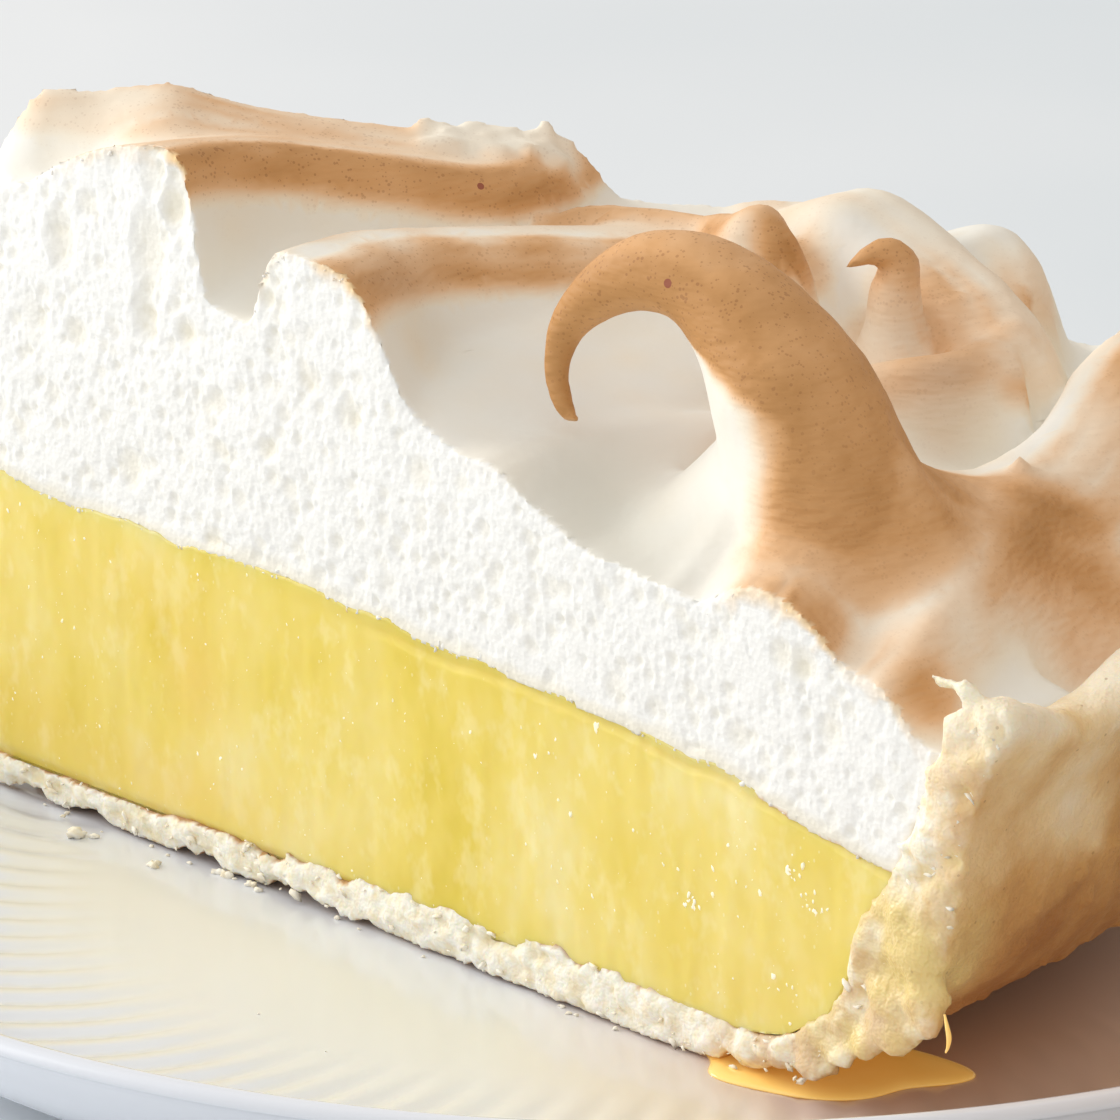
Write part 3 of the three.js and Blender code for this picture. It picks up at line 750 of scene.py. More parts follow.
# painted shadow and reflection: a warm brown tint on the glaze beside the pool, where the slice's shade and
# the crust's reflection fall: middle in the pie's frame, and reach
PAINTED_SHADOW_MIDDLE = (101.5, -28.0, WELL)
PAINTED_SHADOW_REACH = 42.0


def glaze_material():
    graph = Graph(bpy.data.materials.new("plate_glaze"))
    white = graph.ramp(graph.noise(25, 2), (0.35, 0.745, 0.775, 0.835), (0.65, 0.775, 0.80, 0.855))
    painted_shadow = graph.times(graph.measured("DISTANCE", (PIE + PAINTED_SHADOW_MIDDLE) * MM), 1 / (PAINTED_SHADOW_REACH * MM))
    painted_shadow = graph.ramp(painted_shadow, (0.15, 0.6, 0.6, 0.6), (0.55, 0.38, 0.38, 0.38), (1.0, 0.0, 0.0, 0.0))
    return graph.surface(
        # painted shadow and reflection: the glaze turns warm brown towards the middle of that tint
        Base_Color=graph.mixed(painted_shadow, white, (0.70, 0.38, 0.14)), Roughness=0.2, Coat_Weight=0.5,
        Coat_Roughness=0.12, Normal=graph.bump(graph.noise(260, 2), 0.04, 0.0002))


def syrup_material():
    graph = Graph(bpy.data.materials.new("syrup"))
    tint = graph.ramp(graph.noise(180, 2), (0.3, 0.97, 0.66, 0.19), (0.7, 1.0, 0.74, 0.27))
    # painted glow: an amber emission stands in for light passing through the syrup in shadow
    return graph.surface(
        Base_Color=tint, Roughness=0.08, Coat_Weight=0.4, Emission_Color=(1.0, 0.5, 0.08),
        Emission_Strength=0.2)


# ------------------------------------------------------------------ masks on the food
def behind_cuts(points):
    """Distance of each point behind the near cut and behind the far cut."""
    return [points[:, 0] * inward[0] + points[:, 1] * inward[1] for _, inward in CUTS]


def skin_on_cuts(verts, normals):
    """For each cut: the way inward, how near it a point is, and how squarely it faces out."""
    for (_, inward), gap in zip(CUTS, behind_cuts(verts)):
        yield inward, gap, smoothstep(0.35, 0.75, -(normals @ inward))


def near_spine(points, rows, steps=60):
    """For each point: how far out from a peak's spine it is, in local radii, and where along."""
    reach = np.full(len(points), 9.0)
    along = np.zeros(len(points))
    for k, row in enumerate(smooth_rows(rows, steps)):
        distance = np.linalg.norm(points - row[:3], axis=1) / max(0.5 * (row[3] + row[4]), 0.6)
        closer = distance < reach
        reach[closer] = distance[closer]
        along[closer] = k / (steps - 1)
    return reach, along


# ------------------------------------------------------------------ meringue
# the left edge of the brown on the big curl and the saddle below it: height, x
PALE_EDGE = [
    (35, 79.6), (38, 79.4), (41, 80.2), (45, 80.6), (48.7, 79.4), (50.4, 76.4), (51.6, 73.5), (52.6, 66),
    (53.4, 50),
]
# painted shade: hollows of the top skin darkened and greyed where shade falls: x, y, reach, amount
HOLLOW_SHADE_STROKES = [
    (66, -27, 7, 0.9), (60, -22, 6, 0.35), (72, -33, 5, 0.6), (84.5, 1, 4, 0.5), (47, -13, 5, 0.3),
    (33, -12, 5, 0.25),
]
TORN_REACH = (37.5, 48.8)            # radii between which the back edge's foam is torn up
TORN_MIDDLE = 43.5
CURL_CORNER = (75, -25, 44.5)        # where the curl's leg meets the slope beside it
FOAM_LUMPS = 90
BROWN_CRUMBS = ((9, 24), (35, 46), (85, 100))  # radii of the cuts' browned upper edge with crumbs
CRUMBS_ON_TOP, CRUMBS_IN_ALL = 40, 120         # on the edges of each cut


def slice_block():
    """A block over the slice's outline, which trims what leans out past the cuts."""
    outline = [(0.0, 0.0)] + [at(104, turn, 0)[:2] for turn in np.linspace(NEAR, FAR, 24)]
    return np.array([(x, y, z) for z in (30, 70) for x, y in outline], float), tube_faces(2, len(outline))


def torn_foam():
    random = np.random.default_rng(3)
    lumps = []
    for k in range(FOAM_LUMPS):
        r, depth = random.uniform(*TORN_REACH), 0.3 + 4.2 * random.random() ** 1.5
        spot = at(r, FAR, 0.0) + CUTS[1][1] * depth
        spot[2] = meringue_top(spot[:1], spot[1:2])[0][0] + random.uniform(-0.7, 0.5) * (1.2 - depth / 5)
        lumps.append(blob(spot, random.uniform(0.45, 1.15, 3), k, 0.5))
    return lumps


def meringue_skin():
    """The foam as one skin, fine along the near cut and coarse where it is plain or hidden."""
    turns = np.linspace(NEAR, FAR, 130)
    body = wedge_body(meringue_loops(turns), turns)
    curl = trimmed(swept_peak(BIG_CURL, 110, 48), slice_block())
    peaks = [curl, swept_peak(SMALL_HOOK, 60, 28), swept_peak(TINY_TIP, 14, 14)]
    verts, faces = fused([body, *peaks, *torn_foam()], MERINGUE_VOXEL)
    cut_gap = np.minimum(*behind_cuts(verts))
    edges = edges_of(faces)
    verts = relaxed(verts, edges, 12, smoothstep(0.4, 2.0, cut_gap))
    corner = np.linalg.norm(verts - CURL_CORNER, axis=1)
    verts = relaxed(verts, edges, 50, smoothstep(5.5, 2.0, corner), 0.0)
    reach, _ = near_spine(verts, BIG_CURL[:9])
    hidden = (verts[:, 2] < level_at(verts) + 2) & (cut_gap > 2.5)
    plain = (cut_gap > 2.5) & (reach > 1.8)
    verts, faces = thinned(verts, faces, 0.55 * plain + 0.45 * hidden, 0.46)
    near, _ = behind_cuts(verts)
    return refined(verts, faces, (near < 0.6) & (verts[:, 2] > level_at(verts) - 0.4))


def browning(verts, normals):
    """How far the flame has browned the skin, with painted shade and highlights mixed in, its drawn-out
    streaks, and the depth below the top.
    """
    x, y, z = verts.T
    top, toast, streak = meringue_top(x, y)
    reach, along = near_spine(verts, BIG_CURL)
    on_curl = (1 - smoothstep(1.15, 1.7, reach)) * (1 - 0.2 * smoothstep(0.62, 0.9, along))
    underside = smoothstep(0.1, 0.7, -normals[:, 2]) * (along < 0.6)
    on_curl *= mix(1.0, 0.72, underside) * mix(0.72, 1.0, smoothstep(0.0, 0.12, along))
    # painted highlight: upward-facing parts of the curl are kept paler
    on_curl *= 1.2 - 0.4 * smoothstep(0.3, 0.95, normals[:, 2])
    beside = x - table_value(PALE_EDGE, z) + 0.7 * noise(verts, 2.4, 24)
    pale = (1 - smoothstep(-2.4, 2.4, beside)) * smoothstep(70, 72.5, x + 12 * (along > 0.45))
    pale = pale * smoothstep(-17, -20, y) * (along > 0.2)
    reach, along = near_spine(verts, SMALL_HOOK)
    on_hook = (1 - smoothstep(1.2, 1.7, reach)) * (1 - 0.7 * smoothstep(0.4, 0.85, along))
    toast = np.maximum(np.maximum(toast, on_curl) * (1 - pale), 0.9 * on_hook)
    streak = streak * (1 - on_curl) * (1 - on_hook)
    torn = smoothstep(5.6, 3.4, behind_cuts(verts)[1] + 0.7 * noise(verts, 1.5, 25))
    toast = mix(toast, 0.1, 0.85 * (torn * smoothstep(7.5, 5.5, np.abs(np.hypot(x, y) - TORN_MIDDLE))))
    toast = toast + 0.16 * streak * smoothstep(0.05, 0.5, toast) + 0.07 * noise(verts, 9, 22)
    return np.clip(toast + 0.05 * noise(verts, 2.6, 23), 0, 1), streak, top - z


def cut_foam(verts, normals, above):
    """The cut faces torn and pitted: the moved points, and the masks of the cut and its pores; the pores'
    mask later darkens the pits as painted shade.
    """
    tears = pores(verts * (1, 1, 0.6), 3.6, 0.30, 31)
    tears = tears * smoothstep(46, 30, radius_of(verts)) * smoothstep(8, 18, above)
    coarse, middle = pores(verts, 2.6, 0.10, 41), pores(verts, 1.35, 0.38, 51)
    small, torn = pores(verts, 0.7, 0.6, 61), rough(verts * (1, 1, 0.7), 5, 3, 71)
    sunk = 0.55 * tears + 0.34 * coarse + 0.22 * middle + 0.13 * small + 0.28 * torn + 0.05
    sunk = np.clip(mix(0.06 + 0.14 * torn, sunk, smoothstep(0.0, 1.1, above)), -0.2, 1.2)
    pitted = np.clip(0.6 * tears + 0.7 * coarse + 0.45 * middle, 0, 1)
    moved, cut, pore = verts.copy(), 0, 0
    for inward, gap, facing in skin_on_cuts(verts, normals):
        on_cut = 1 - smoothstep(0.25, 1.0, gap)
        moved += inward * (on_cut * facing * sunk)[:, None]
        cut = np.maximum(cut, on_cut * smoothstep(0.3, 0.6, facing))
        pore = np.maximum(pore, on_cut * pitted)
    return moved, cut, pore


def make_meringue(material):
    verts, faces = meringue_skin()
    normals = normals_of(verts, faces)
    toast, streak, depth = browning(verts, normals)
    near, far = behind_cuts(verts)
    levels = [lemon_level(radius_of(verts), angle) for angle in (NEAR, FAR)]
    above = verts[:, 2] - np.where(near < far, *levels)
    moved, cut, pore = cut_foam(verts, normals, above)
    wrinkles = noise(verts * (0.4, 1.1, 1.1), 1.5, 83) * smoothstep(70, 80, verts[:, 0])
    shift = 0.05 * rough(verts, 2.0, 3, 81) + 0.12 * noise(verts, 6, 82) + 0.07 * streak + 0.1 * wrinkles
    moved += normals * (shift * (1 - cut))[:, None]
    fringe = 1 - smoothstep(0.2, 1.6 + 1.3 * noise(verts, 1.1, 91), depth)
    low_fringe = 1 - smoothstep(0.1, 1.6 + noise(verts, 2.0, 93), above)
    # painted shade: the top skin greyed in its hollows, carried in the blue mask
    hollow_shade = np.clip(brushed(HOLLOW_SHADE_STROKES, verts[:, 0], verts[:, 1]), 0, 1) * smoothstep(-1.6, -0.6, depth)
    toast = np.where(cut > 0.5, 1.1 * toast * fringe, toast)
    # the blue mask: on the cut faces the pits as painted shade and a real yellow tinge along the filling; on
    # the top the hollows' painted shade
    pore = np.where(cut > 0.5, np.maximum(pore, 0.9 * low_fringe), hollow_shade)
    look = np.stack([toast, cut, pore], 1)
    return piece("meringue_swirls", moved, faces, material, "meringue", "meringue", look)


def make_fringe(material):
    """Loose crumbs of foam: browned along the cut's upper edge, white along the filling."""
    random = np.random.default_rng(31)
    parts, looks = [], []
    for angle, inward in CUTS:
        for k in range(CRUMBS_IN_ALL):
            if k < CRUMBS_ON_TOP:
                r = random.uniform(*BROWN_CRUMBS[k % 3])
                level, toast, _ = meringue_top(*at(r, angle, 0)[:2, None])
                z = level[0] - random.uniform(0.25, 0.9)
                look = (0.1 + 0.45 * toast[0]) * random.uniform(0.3, 1), 1.0, 0.0
                size = random.uniform(0.05, 0.13)
            else:
                r = random.uniform(3, 104)
                z = lemon_level(np.array([r]), angle)[0] + random.uniform(-0.35, 0.35)
                look = 0.0, 1.0, 0.35
                size = 0.06 + 0.2 * random.random() ** 2
            centre = at(r, angle, z) + inward * (0.1 + 0.6 * size)
            parts.append(blob(centre, random.uniform(0.6, 1.5, 3) * size, k, 0.8, 5, 7))
            looks += [look] * len(parts[-1][0])
    return piece("meringue_crumbs", *joined(parts), material, "meringue", look=np.array(looks))


# ------------------------------------------------------------------ crust
# lumps of torn pastry at the rim end of each cut: radius, height, depth, three half sizes
TORN_LUMPS = [
    (102.2, 12.6, 0.5, 1.0, 0.8, 2.2), (103.3, 14.6, 0.2, 1.3, 0.8, 1.5), (107.0, 15.6, 0.6, 3.3, 1.5, 3.6),
    (104.6, 10.6, 0.7, 2.0, 1.2, 2.2), (106.4, 8.9, 0.9, 2.6, 1.4, 2.4), (109.3, 10.8, 0.6, 2.2, 1.3, 2.6),
    (103.2, 6.2, 0.5, 1.7, 0.9, 1.2), (100.6, 4.6, 0.3, 1.6, 0.8, 1.0), (97.6, 2.6, 0.3, 1.6, 0.8, 0.9),
    (109.4, 19.8, 0.3, 1.7, 0.8, 1.8), (108.6, 23.0, 0.3, 1.4, 0.8, 2.0), (110.4, 26.6, 0.3, 1.5, 0.7, 2.2),
    (111.3, 29.4, 0.4, 1.5, 0.8, 2.2), (112.0, 32.6, 0.4, 1.6, 0.8, 1.8), (110.2, 36.3, 0.2, 1.6, 0.45, 0.5),
    (112.6, 36.2, 0.2, 1.2, 0.5, 0.9), (114.6, 34.6, 0.2, 1.0, 0.5, 1.2), (111.6, 22.6, 0.2, 1.2, 0.6, 1.6),
]
# how far crumbs of the bottom crust were dragged up over the cut filling: radius, height
CLIMB = [(24, 0.6), (40, 1.4), (52, 1.9), (66, 2.2), (80, 2.0), (90, 1.5), (98, 1.8)]
# where syrup soaked the near cut: radius, height, half width, half height, amount
SOAKED_CORNER = [(107.6, 14.5, 5.5, 5.0, 1)]
SOAKED_FOOT = [(104, 6.0, 9.0, 3.0, 0.8)]
# the outside and the inside from the tip to the rim, in as many steps
LAST_STEP = 199
OUTER_STEPS = smooth_rows(OUTER_PROFILE, LAST_STEP + 1)
INNER_STEPS = smooth_rows(INNER_PROFILE[::-1], LAST_STEP + 1)
CUT_CRUMBS, CLIMBING_CRUMBS = 300, 230  # on each cut
BLISTERS = 260


def crust_parts():
    """The pastry's body, crumbs and lumps on its cuts, and blisters on its outside."""
    random = np.random.default_rng(7)
    turns = np.linspace(NEAR, FAR, 150)
    parts = [wedge_body([crust_loop(turn) for turn in turns], turns)]
    for angle, inward in CUTS:
        for k in range(CUT_CRUMBS):
            share = random.random() ** 0.8
            i = int(share * LAST_STEP)
            r, z = crimped(*mix(OUTER_STEPS[i], INNER_STEPS[i], random.random() ** 0.7), angle)
            turn = angle + math.copysign(random.uniform(-0.15, 0.3), angle) / max(r, 3)
            size = random.uniform(0.35, 0.85) * (0.8 + 0.4 * share)
            centre = at(r, turn, max(z, 0.3 + 0.4 * size))
            parts.append(blob(centre, np.array([1, 0.7, 0.6]) * size, k, 0.5))
        for k, (r, z, depth, wide, thick, tall) in enumerate(TORN_LUMPS):
            centre = at(r, angle, z) + inward * (-1, 1, 1) * (depth - 0.75 * thick)
            parts.append(turned_blob(centre, (wide, thick, tall), 50 + k, angle, lumps=0.45))
        for k in range(CLIMBING_CRUMBS):
            r, size = random.uniform(24, 99), random.uniform(0.5, 0.9)
            z = CRUST_FLOOR - 0.4 + (table_value(CLIMB, r) - 0.3 * size) * random.random() ** 0.8
            centre = at(r, angle, z) + inward * random.uniform(0.3, 0.55)
            parts.append(blob(centre, np.array([1.1, 0.7, 0.6]) * size, 300 + k, 0.6))
    for k in range(BLISTERS):
        r, z = OUTER_STEPS[int(random.uniform(0.36, 0.72) * LAST_STEP)]
        turn, size = random.uniform(NEAR, FAR), random.uniform(0.3, 0.75)
        parts.append(blob(at(r, turn, max(z, 0.5 * size)), np.array([0.8, 1.2, 0.7]) * size, k, 0.5))
    return parts


def crust_skin():
    """The pastry as one skin, coarser where it is plain or hidden under the filling."""
    verts, faces = fused(crust_parts(), CRUST_VOXEL)
    cut_gap = np.minimum(*behind_cuts(verts))
    verts = relaxed(verts, edges_of(faces), 4, 0.3 + 0.7 * smoothstep(0.4, 2.0, cut_gap))
    middle = (cut_gap > 3) & (verts[:, 2] < RIM_HEIGHT - 6)
    hidden = middle & (verts[:, 2] < level_at(verts)) & (radius_of(verts) < 92)
    return thinned(verts, faces, 0.4 * middle + 0.6 * hidden, 0.72)


def make_crust(material):
    verts, faces = crust_skin()
    normals, radius, height = normals_of(verts, faces), radius_of(verts), verts[:, 2]
    inner_edge, outer_edge = (np.interp(height, z, r) for r, z in (INNER_WALL, OUTER_WALL))
    across = (radius - inner_edge) / (outer_edge - inner_edge)
    flaky = 0.4 * rough(verts * (1, 1, 1.8), 2.6, 4, 13) + 0.3 * pores(verts, 1.6, 0.3, 17)
    flakes = smoothstep(-0.15, 0.35, noise(verts * (1, 1, 0.55), 2.1, 14) + 0.5 * noise(verts, 0.8, 15))
    flakes = np.maximum(flakes, smoothstep(94, 84, radius))
    shade = mix(0.38, 1.0, flakes) * (1 - 0.6 * smoothstep(0.35, 0.75, across) * smoothstep(8, 14, height))
    gaps = smoothstep(0.0, 0.8, rough(np.stack([radius, 0 * radius, 0 * radius], 1), 3.4, 3, 19))
    lift = 1 - smoothstep(0.3, 1.6, height)
    moved, inside, recess_warm_shade = verts.copy(), 0, 0
    for inward, gap, facing in skin_on_cuts(verts, normals):
        on_cut = 1 - smoothstep(0.5, 1.8, gap)
        facing = smoothstep(-0.1, 0.5, facing)
        moved += inward * (on_cut * facing * np.clip(flaky, -0.5, 0.7))[:, None]
        moved[:, 2] += 0.9 * gaps * (1 - smoothstep(1.0, 5.0, gap)) * lift * (radius < 96)
        # painted shade: a warm tint in the recesses of the cut pastry, stored with the soaked syrup
        recess_warm_shade = np.maximum(recess_warm_shade, on_cut * facing * smoothstep(-0.05, 0.4, flaky))
        inside = np.maximum(inside, on_cut * smoothstep(0.0, 0.4, facing) * shade)
    blistered = 0.22 * rough(verts, 5.5, 3, 23) + 0.10 * noise(verts, 1.2, 29)
    ragged = 0.12 * noise(verts * (1, 1, 1.5), 0.9, 30)
    moved += normals * ((blistered * (1 - inside) + ragged) * smoothstep(1.0, 5.0, height))[:, None]
    moved[:, 2] = np.maximum(moved[:, 2], WELL + 0.05)
    rim = smoothstep(RIM_HEIGHT - 5, RIM_HEIGHT + 1, height)
    low = 1 - smoothstep(5, 24, height)
    # painted highlight: the rim is made paler towards its top
    toast = 0.55 + 0.35 * low - 0.45 * rim + 0.3 * noise(verts, 12, 33) + 0.12 * noise(verts, 3, 34)
    soaked = np.maximum(clouds(SOAKED_CORNER, verts), clouds(SOAKED_FOOT, verts))
    soaked = soaked * (1 - smoothstep(0.3, 7, behind_cuts(verts)[0])) * (1.15 + 0.9 * noise(verts, 2.2, 37))
    look = np.clip(np.stack([inside, toast, np.maximum(soaked, 0.55 * recess_warm_shade)], 1), 0, 1)
    return piece("crimped_crust", moved, faces, material, "baked_crust", "crust", look)


# crumbs lying beside the slice: x, y, half size
FALLEN = [
    (13.6, -9.6, 0.8), (14.9, -9.4, 0.4), (22.0, -13.6, 0.5), (27.6, -13.2, 0.45), (28.6, -13.5, 0.6),
    (31.2, -14.9, 0.5), (32.2, -15.6, 0.35), (50.7, -45.1, 0.14), (42.8, -39.9, 0.13),
]
# how many lie along both cuts or hang on them, and how many of those are at the near cut
SPECKS, NEAR_SPECKS = 30, 16
FLAKES, NEAR_FLAKES = 600, 400


def make_crumbs(material):
    """Crumbs that fell on the plate, and flakes that hang on the cut pastry."""
    random = np.random.default_rng(23)
    parts = []
    for k, (x, y, size) in enumerate(FALLEN):
        for lump in range(4 if size > 0.2 else 1):
            dx, dy = random.uniform(-0.6, 0.6, 2) * size
            half = random.uniform(0.4, 0.75) * size
            centre = (x + dx, y + dy, WELL + 0.5 * half)
            parts.append(blob(centre, np.array([1.2, 0.9, 0.8]) * half, 9 * k + lump, 0.7))
    for k in range(SPECKS):
        angle, inward = CUTS[k >= NEAR_SPECKS]
        r, out = random.uniform(6, 92), 0.2 + 0.9 * random.random() ** 2
        size = random.uniform(0.08, 0.22)
        centre = at(r, angle, WELL + 0.55 * size) - inward * out
        parts.append(blob(centre, np.array([1.2, 0.9, 0.75]) * size, k, 0.7))
    for k in range(FLAKES):
        angle, inward = CUTS[k >= NEAR_FLAKES]
        i = int(random.random() ** 0.75 * LAST_STEP)
        r, z = mix(OUTER_STEPS[i], INNER_STEPS[i], random.uniform(0.05, 0.95))
        if i < 100 and random.random() < 0.5:
            r = random.uniform(6, 97)
            z = random.uniform(0.2, CRUST_FLOOR + table_value(CLIMB, r) - 0.3)
        r, z = crimped(r, z, angle)
        centre = at(r, angle, max(z, 0.2)) + inward * random.uniform(-0.25, 0.05)
        size = np.array([1.5, 0.7, 0.5]) * (0.12 + 0.3 * random.random() ** 2)
        flake = dict(lumps=0.9, rings=4, sides=6)
        parts.append(turned_blob(centre, size, k, angle, random.uniform(-1, 1), **flake))
    verts, faces = joined(parts)
    look = np.tile([1.0, 0.0, 0.0], (len(verts), 1))
    return piece("crust_crumbs", verts, faces, material, "baked_crust", look=look)


# ------------------------------------------------------------------ filling
# warmer and paler clouds in the filling: radius, height, half width, half height, amount
WARM = [(26, 5, 14, 4, 0.8), (28, 15, 3.5, 4, 0.9), (22, 21, 10, 5, 0.35), (8, 8, 6, 5, 0.4)]
PALE = [
    (31.5, 10, 3, 7, 0.8), (44, 9, 8, 6, 0.35), (72, 8, 10, 4, 0.25), (17, 16, 4, 5, 0.4),
    (90, 6, 7, 3, 0.3),
]
BUBBLES = 330                        # in each cut face
# groups of larger bubbles among them: radius, height, spread
CLUSTERS = [
    (95.2, 17.4, 0.7), (97.6, 15.4, 0.6), (84.5, 11.9, 0.5), (90.4, 15.5, 3.0), (72, 17, 4.0), (96, 8, 2.0),
]


def brick(corner_at, counts):
    """A closed six-sided body; corner_at maps three shares from 0 to 1 to points."""
    faces, index = [], {}
    for axis in range(3):
        b, c = [k for k in range(3) if k != axis]
        for end in (0, counts[axis] - 1):
            grid = np.empty((counts[b], counts[c]), int)
            for i, j in np.ndindex(*grid.shape):
                key = [end] * 3
                key[b], key[c] = i, j
                grid[i, j] = index.setdefault(tuple(key), len(index))
            quads = np.stack([grid[:-1, :-1], grid[1:, :-1], grid[1:, 1:], grid[:-1, 1:]], -1).reshape(-1, 4)
            flip = (end == 0) ^ (axis == 1)
            faces += (quads[:, ::-1] if flip else quads).tolist()
    shares = np.array(list(index), float) / (np.array(counts) - 1)
    return corner_at(shares), faces


def lemon_points(share):
    """Radius share, height share and angle share to points of the filling."""
    angle = mix(NEAR, FAR, share[:, 2])
    top_r = mix(TIP_RADIUS, LEMON_EDGE_RADIUS + TUCK, share[:, 0])
    low_r = mix(TIP_RADIUS, 99, share[:, 0])
    low_z = np.interp(low_r, *FILLED) - 0.35
    high_z = np.empty(len(share))
    for side in np.unique(angle):
        chosen = angle == side
        high_z[chosen] = lemon_level(top_r[chosen], side)
    z = mix(low_z, high_z, share[:, 1])
    wall_r = np.interp(z, *FILLED[::-1]) + TUCK
    radius = mix(low_r, top_r, share[:, 1])
    held = mix(radius, np.minimum(radius, wall_r), smoothstep(-0.2, 1.0, share[:, 0]))
    radius = np.where(share[:, 0] > 0.999, wall_r, held)
    return np.stack([radius * np.cos(angle), radius * np.sin(angle), z], 1)


def cut_recess(points):
    """How far in the knife drew the cut face of the filling at each point."""
    below = level_at(points) - points[:, 2] + 0.5 * noise(points, 4, 48)
    drawn = 0.14 * rough(points * (1, 1, 0.3), 5, 3, 43) + 0.05 * noise(points * (1, 1, 0.3), 0.9, 47)
    ledge = 0.22 * smoothstep(1.3, 1.1, below) * smoothstep(44, 54, radius_of(points))
    recess = mix(0.1, drawn + ledge + 0.10, smoothstep(0.0, 0.9, below))
    return mix(recess, 0.55, 1 - smoothstep(CRUST_FLOOR, CRUST_FLOOR + 1.2, points[:, 2]))


def make_lemon(material):
    verts, faces = brick(lemon_points, (300, 66, 16))
    radius, recess, moved = radius_of(verts), cut_recess(verts), verts.copy()
    for (_, inward), gap in zip(CUTS, behind_cuts(verts)):
        moved += inward * ((1 - smoothstep(0.02, 0.2, gap)) * recess)[:, None]
    strip = smoothstep(2.0, 0.8, level_at(verts) - verts[:, 2]) * smoothstep(30, 50, radius)
    pale = clouds(PALE, verts) + 0.2 * smoothstep(98, 105, radius)
    look = np.clip(np.stack([strip, clouds(WARM, verts), pale], 1), 0, 1)
    return piece("lemon_curd", moved, faces, material, "lemon_curd", "lemon_filling", look)


def make_bubbles(material):
    """Small pale bubbles and bits of pulp in the two cut faces of the filling."""
    random = np.random.default_rng(11)
    parts = []
    for angle, inward in CUTS:
        for k in range(BUBBLES):
            r = random.uniform(3, 99)
            z = random.uniform(3.4, table_value(LEMON_TOP, r) - 0.8)
            if r > 90 and z < 9:
                continue
            size = 0.04 + 0.13 * random.random() ** 3
            if k % 5 == 0:
                cluster_r, cluster_z, reach = CLUSTERS[k // 5 % len(CLUSTERS)]
                r, z = random.normal(cluster_r, reach), random.normal(cluster_z, 0.8 * reach)
                size = 0.08 + 0.2 * random.random() ** 2
            lean = random.uniform(-0.9, 0.9)
            halves = (size, 0.5 * size, size * random.uniform(0.9, 1.7))
            centre = at(r, angle, z)
            centre = centre + inward * (cut_recess(centre[None])[0] + 0.3 * size)
            parts.append(turned_blob(centre, halves, k, angle, lean, lumps=0.6))
    return piece("curd_bubbles", *joined(parts), material, "lemon_curd")


# ------------------------------------------------------------------ plate and syrup
PLATE_LOW, PLATE_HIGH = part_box("plate")
PLATE_RADIUS = (PLATE_HIGH.x - PLATE_LOW.x) / 2 / MM
PLATE_HEIGHT = PLATE_HIGH.z / MM
PLATE_OUTSIDE = [
    (0.01, 2.2), (44.5, 2.2), (45.6, 1.2), (46.3, 0.15), (47, 0), (49, 0), (49.7, 0.15), (50.4, 1.0),
    (51.8, 2), (59, 2.6), (66, 4.7), (72.4, 8.6), (77, 12.9), (79.3, 15.4), (80, 16.1), (79.7, 16.8),
    (78.9, 17),
]
PLATE_INSIDE = [
    (78.9, 17), (77.8, 16.4), (75, 13.6), (70.5, 10), (66, 7.6), (62, 6.4), (58, 6), (44, 6), (30, 6),
    (0.01, 6),
]
OUTSIDE_STEPS, INSIDE_STEPS = 60, 70
FLUTES = 84
FLUTE_DEPTH = 0.38
FLUTES_START, FLUTES_END = (45, 54), (75.5, 78.0)  # radii between which they grow and fade
POOL_MIDDLE = (87.2, -34.3)
POOL_LENGTH, POOL_WIDTH = 10.6, 6.0  # half of each
POOL_ALONG, POOL_ACROSS = (0.93, 0.2), (-0.2, 0.93)
# the pool's skin from its middle outwards: share of its reach, height
POOL_SKIN = [(0.02, 0.42), (0.4, 0.42), (0.7, 0.40), (0.86, 0.36), (0.94, 0.27), (0.985, 0.14), (1.0, 0.0)]
STRAND = [
    (101.0, -48.0, 11.2, 0.08, 0.08), (101.3, -48.3, 10.4, 0.16, 0.16), (101.5, -48.4, 9.6, 0.2, 0.2),
    (101.4, -48.3, 8.8, 0.14, 0.14), (101.2, -48.2, 8.3, 0.07, 0.07),
]


def make_plate(material):
    """The plate turned round its middle, with curved flutes pressed into its inside."""
    inside = smooth_rows(PLATE_INSIDE, INSIDE_STEPS)[1:]
    profile = np.concatenate([smooth_rows(PLATE_OUTSIDE, OUTSIDE_STEPS), inside])
    profile = np.clip(profile, (0.01, 0), (PLATE_RADIUS, PLATE_HEIGHT))
    sides = 7 * FLUTES
    r, a = profile[:, 0][:, None], np.linspace(0, 2 * math.pi, sides, endpoint=False)[None]
    z = np.repeat(profile[:, 1][:, None], sides, 1)
    upper = (np.arange(len(profile)) >= OUTSIDE_STEPS)[:, None]
    band = smoothstep(*FLUTES_START, r) * (1 - smoothstep(*FLUTES_END, r)) * upper
    reach = np.clip(r - 46, 0, 32)
    phase = FLUTES * (a + np.radians(0.30 * reach + 0.014 * reach**2))
    z = z - FLUTE_DEPTH * band * (0.5 + 0.5 * np.cos(phase + 0.7 * np.sin(phase)))
    verts = np.stack([r * np.cos(a), r * np.sin(a), z], -1).reshape(-1, 3)
    faces = tube_faces(len(profile), sides)
    return piece("fluted_plate", verts, faces, material, "plate_glaze", "plate", place=np.zeros(3))


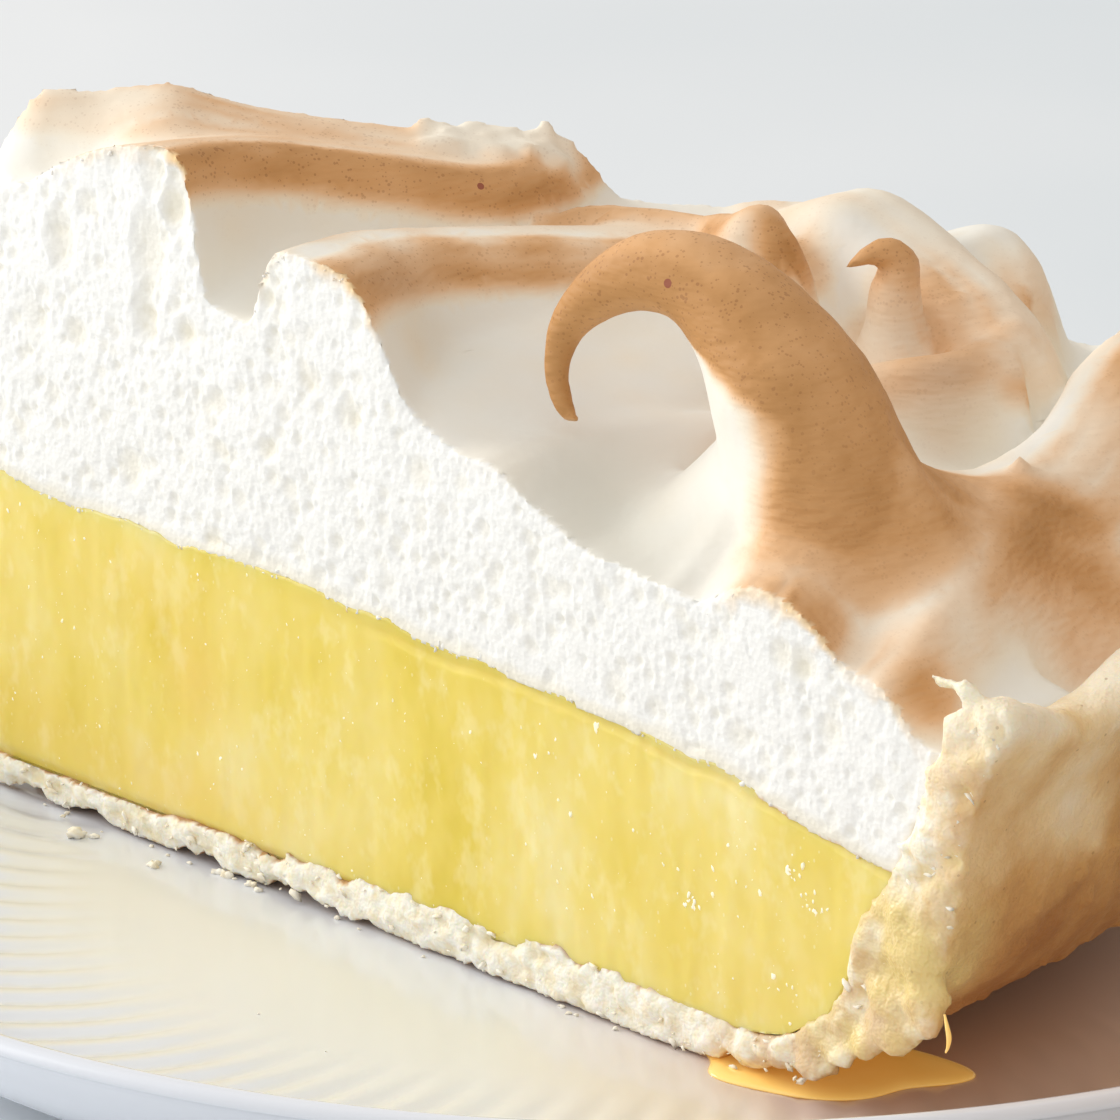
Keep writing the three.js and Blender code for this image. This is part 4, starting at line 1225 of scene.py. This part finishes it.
def make_syrup(material):
    """A thin pool of syrup that ran out at the near corner, and a fine strand above it."""
    turn = np.linspace(0, 2 * math.pi, 96, endpoint=False)
    wobble = 1 + 0.10 * np.sin(3 * turn + 0.6) + 0.06 * np.sin(5 * turn + 2)
    layers = []
    for share, height in POOL_SKIN:
        reach = share * wobble
        along = np.outer(POOL_LENGTH * reach * np.cos(turn), POOL_ALONG)
        across = np.outer(POOL_WIDTH * reach * np.sin(turn), POOL_ACROSS)
        level = np.full(len(turn), WELL + 0.02 + height)
        layers.append(np.column_stack([POOL_MIDDLE + along + across, level]))
    pool = np.concatenate(layers), tube_faces(len(layers), len(turn), True)
    verts, faces = joined([pool, swept_peak(STRAND, 24, 10)])
    return piece("syrup_pool", verts, faces, material, "lemon_curd")


# ------------------------------------------------------------------ stage, light and camera
CAMERA_TURN = math.radians(21.5)
CAMERA_RISE = math.radians(18.4)
CAMERA_DISTANCE = 600.0
CAMERA_AIM = np.array([57.3, -13.4, 30.0])
FOCAL_PIXELS = 7700.0
PHOTO_SIDE = 1120.0
SENSOR = 36
BACK = np.array([
    math.sin(CAMERA_TURN) * math.cos(CAMERA_RISE), -math.cos(CAMERA_TURN) * math.cos(CAMERA_RISE),
    math.sin(CAMERA_RISE)])
RIGHT = np.array([math.cos(CAMERA_TURN), math.sin(CAMERA_TURN), 0.0])
UP = np.cross(BACK, RIGHT)


def seen(right, height, back):
    """A direction by how far it goes to the camera's right, up, and back to the camera."""
    return RIGHT * right + np.array([0, 0, height]) + BACK * back


def make_floor():
    corners = [(-3, -3, 0), (3, -3, 0), (3, 3, 0), (-3, 3, 0)]
    floor = placed("table", new_mesh("table", corners, [[0, 1, 2, 3]]))
    graph = Graph(bpy.data.materials.new("table"))
    # painted shade: the floor is darker towards the camera's right, standing in for the light falling off
    tint = graph.maths("ADD", graph.measured("DOT_PRODUCT", RIGHT * 4.5), graph.noise(9, 2))
    pale = graph.ramp(tint, (0.2, 0.84, 0.875, 0.91), (0.55, 0.77, 0.815, 0.855), (0.8, 0.73, 0.785, 0.83))
    floor.data.materials.append(graph.surface(Base_Color=pale, Roughness=0.7))


def make_camera():
    data = bpy.data.cameras.new("camera")
    data.sensor_width = SENSOR
    data.lens = SENSOR * FOCAL_PIXELS / PHOTO_SIDE
    data.clip_start, data.clip_end = 0.02, 20
    camera = placed("camera", data)
    axes = Matrix(np.stack([RIGHT, UP, BACK], 1).tolist()).to_4x4()
    camera.matrix_world = Matrix.Translation((CAMERA_AIM + PIE + BACK * CAMERA_DISTANCE) * MM) @ axes
    bpy.context.scene.camera = camera


def make_light(name, kind, offset, energy, colour, **settings):
    """A lamp at an offset from the aim, in metres, that faces it; for the sun, the way its light goes."""
    data = bpy.data.lights.new(name, kind)
    data.energy, data.color = energy, colour
    for key, value in settings.items():
        setattr(data, key, value)
    light = placed(name, data)
    light.rotation_mode = "QUATERNION"
    light.rotation_quaternion = Vector(offset if kind == "SUN" else -offset).to_track_quat("-Z", "Y")
    if kind != "SUN":
        light.location = (CAMERA_AIM + PIE) * MM + offset


def make_lights():
    window, wall = seen(-0.38, 0.12, 0.02), seen(0.26, 0.16, 0.12)
    make_light("low_sun", "SUN", seen(0.66, -0.45, 0.42), 1.25, (1.0, 0.95, 0.88), angle=math.radians(22))
    make_light("window", "AREA", window, 0.31, (1.0, 0.985, 0.96), shape="SQUARE", size=0.30)
    make_light("warm_wall", "AREA", wall, 0.03, (1.0, 0.48, 0.16), shape="SQUARE", size=0.20)
    world = bpy.data.worlds.new("world")
    bpy.context.scene.world = world
    sky = Graph(world, "Generated")
    share = sky.scaled(sky.measured("DOT_PRODUCT", seen(-0.72, 0.66, 0.10)), 0.5, 0.5)
    colour = sky.ramp(
        share, (0.10, 0.40, 0.23, 0.11), (0.40, 0.47, 0.41, 0.34), (0.70, 0.80, 0.79, 0.77),
        (0.95, 1.0, 1.0, 1.0))
    background = world.node_tree.nodes["Background"]
    sky.feed(background.inputs["Color"], colour)
    sky.feed(background.inputs["Strength"], 1.0)
    bpy.context.scene.view_settings.view_transform = "Standard"


make_camera()
make_lights()
make_floor()
make_plate(glaze_material())
make_crust(crust_material("baked_crust", 0.25, 0.45))
make_lemon(lemon_material())
make_bubbles(bubble_material())
foam = meringue_material()
make_meringue(foam)
make_fringe(foam)
make_crumbs(crust_material("loose_crumbs", 0.0, 0.1))
make_syrup(syrup_material())
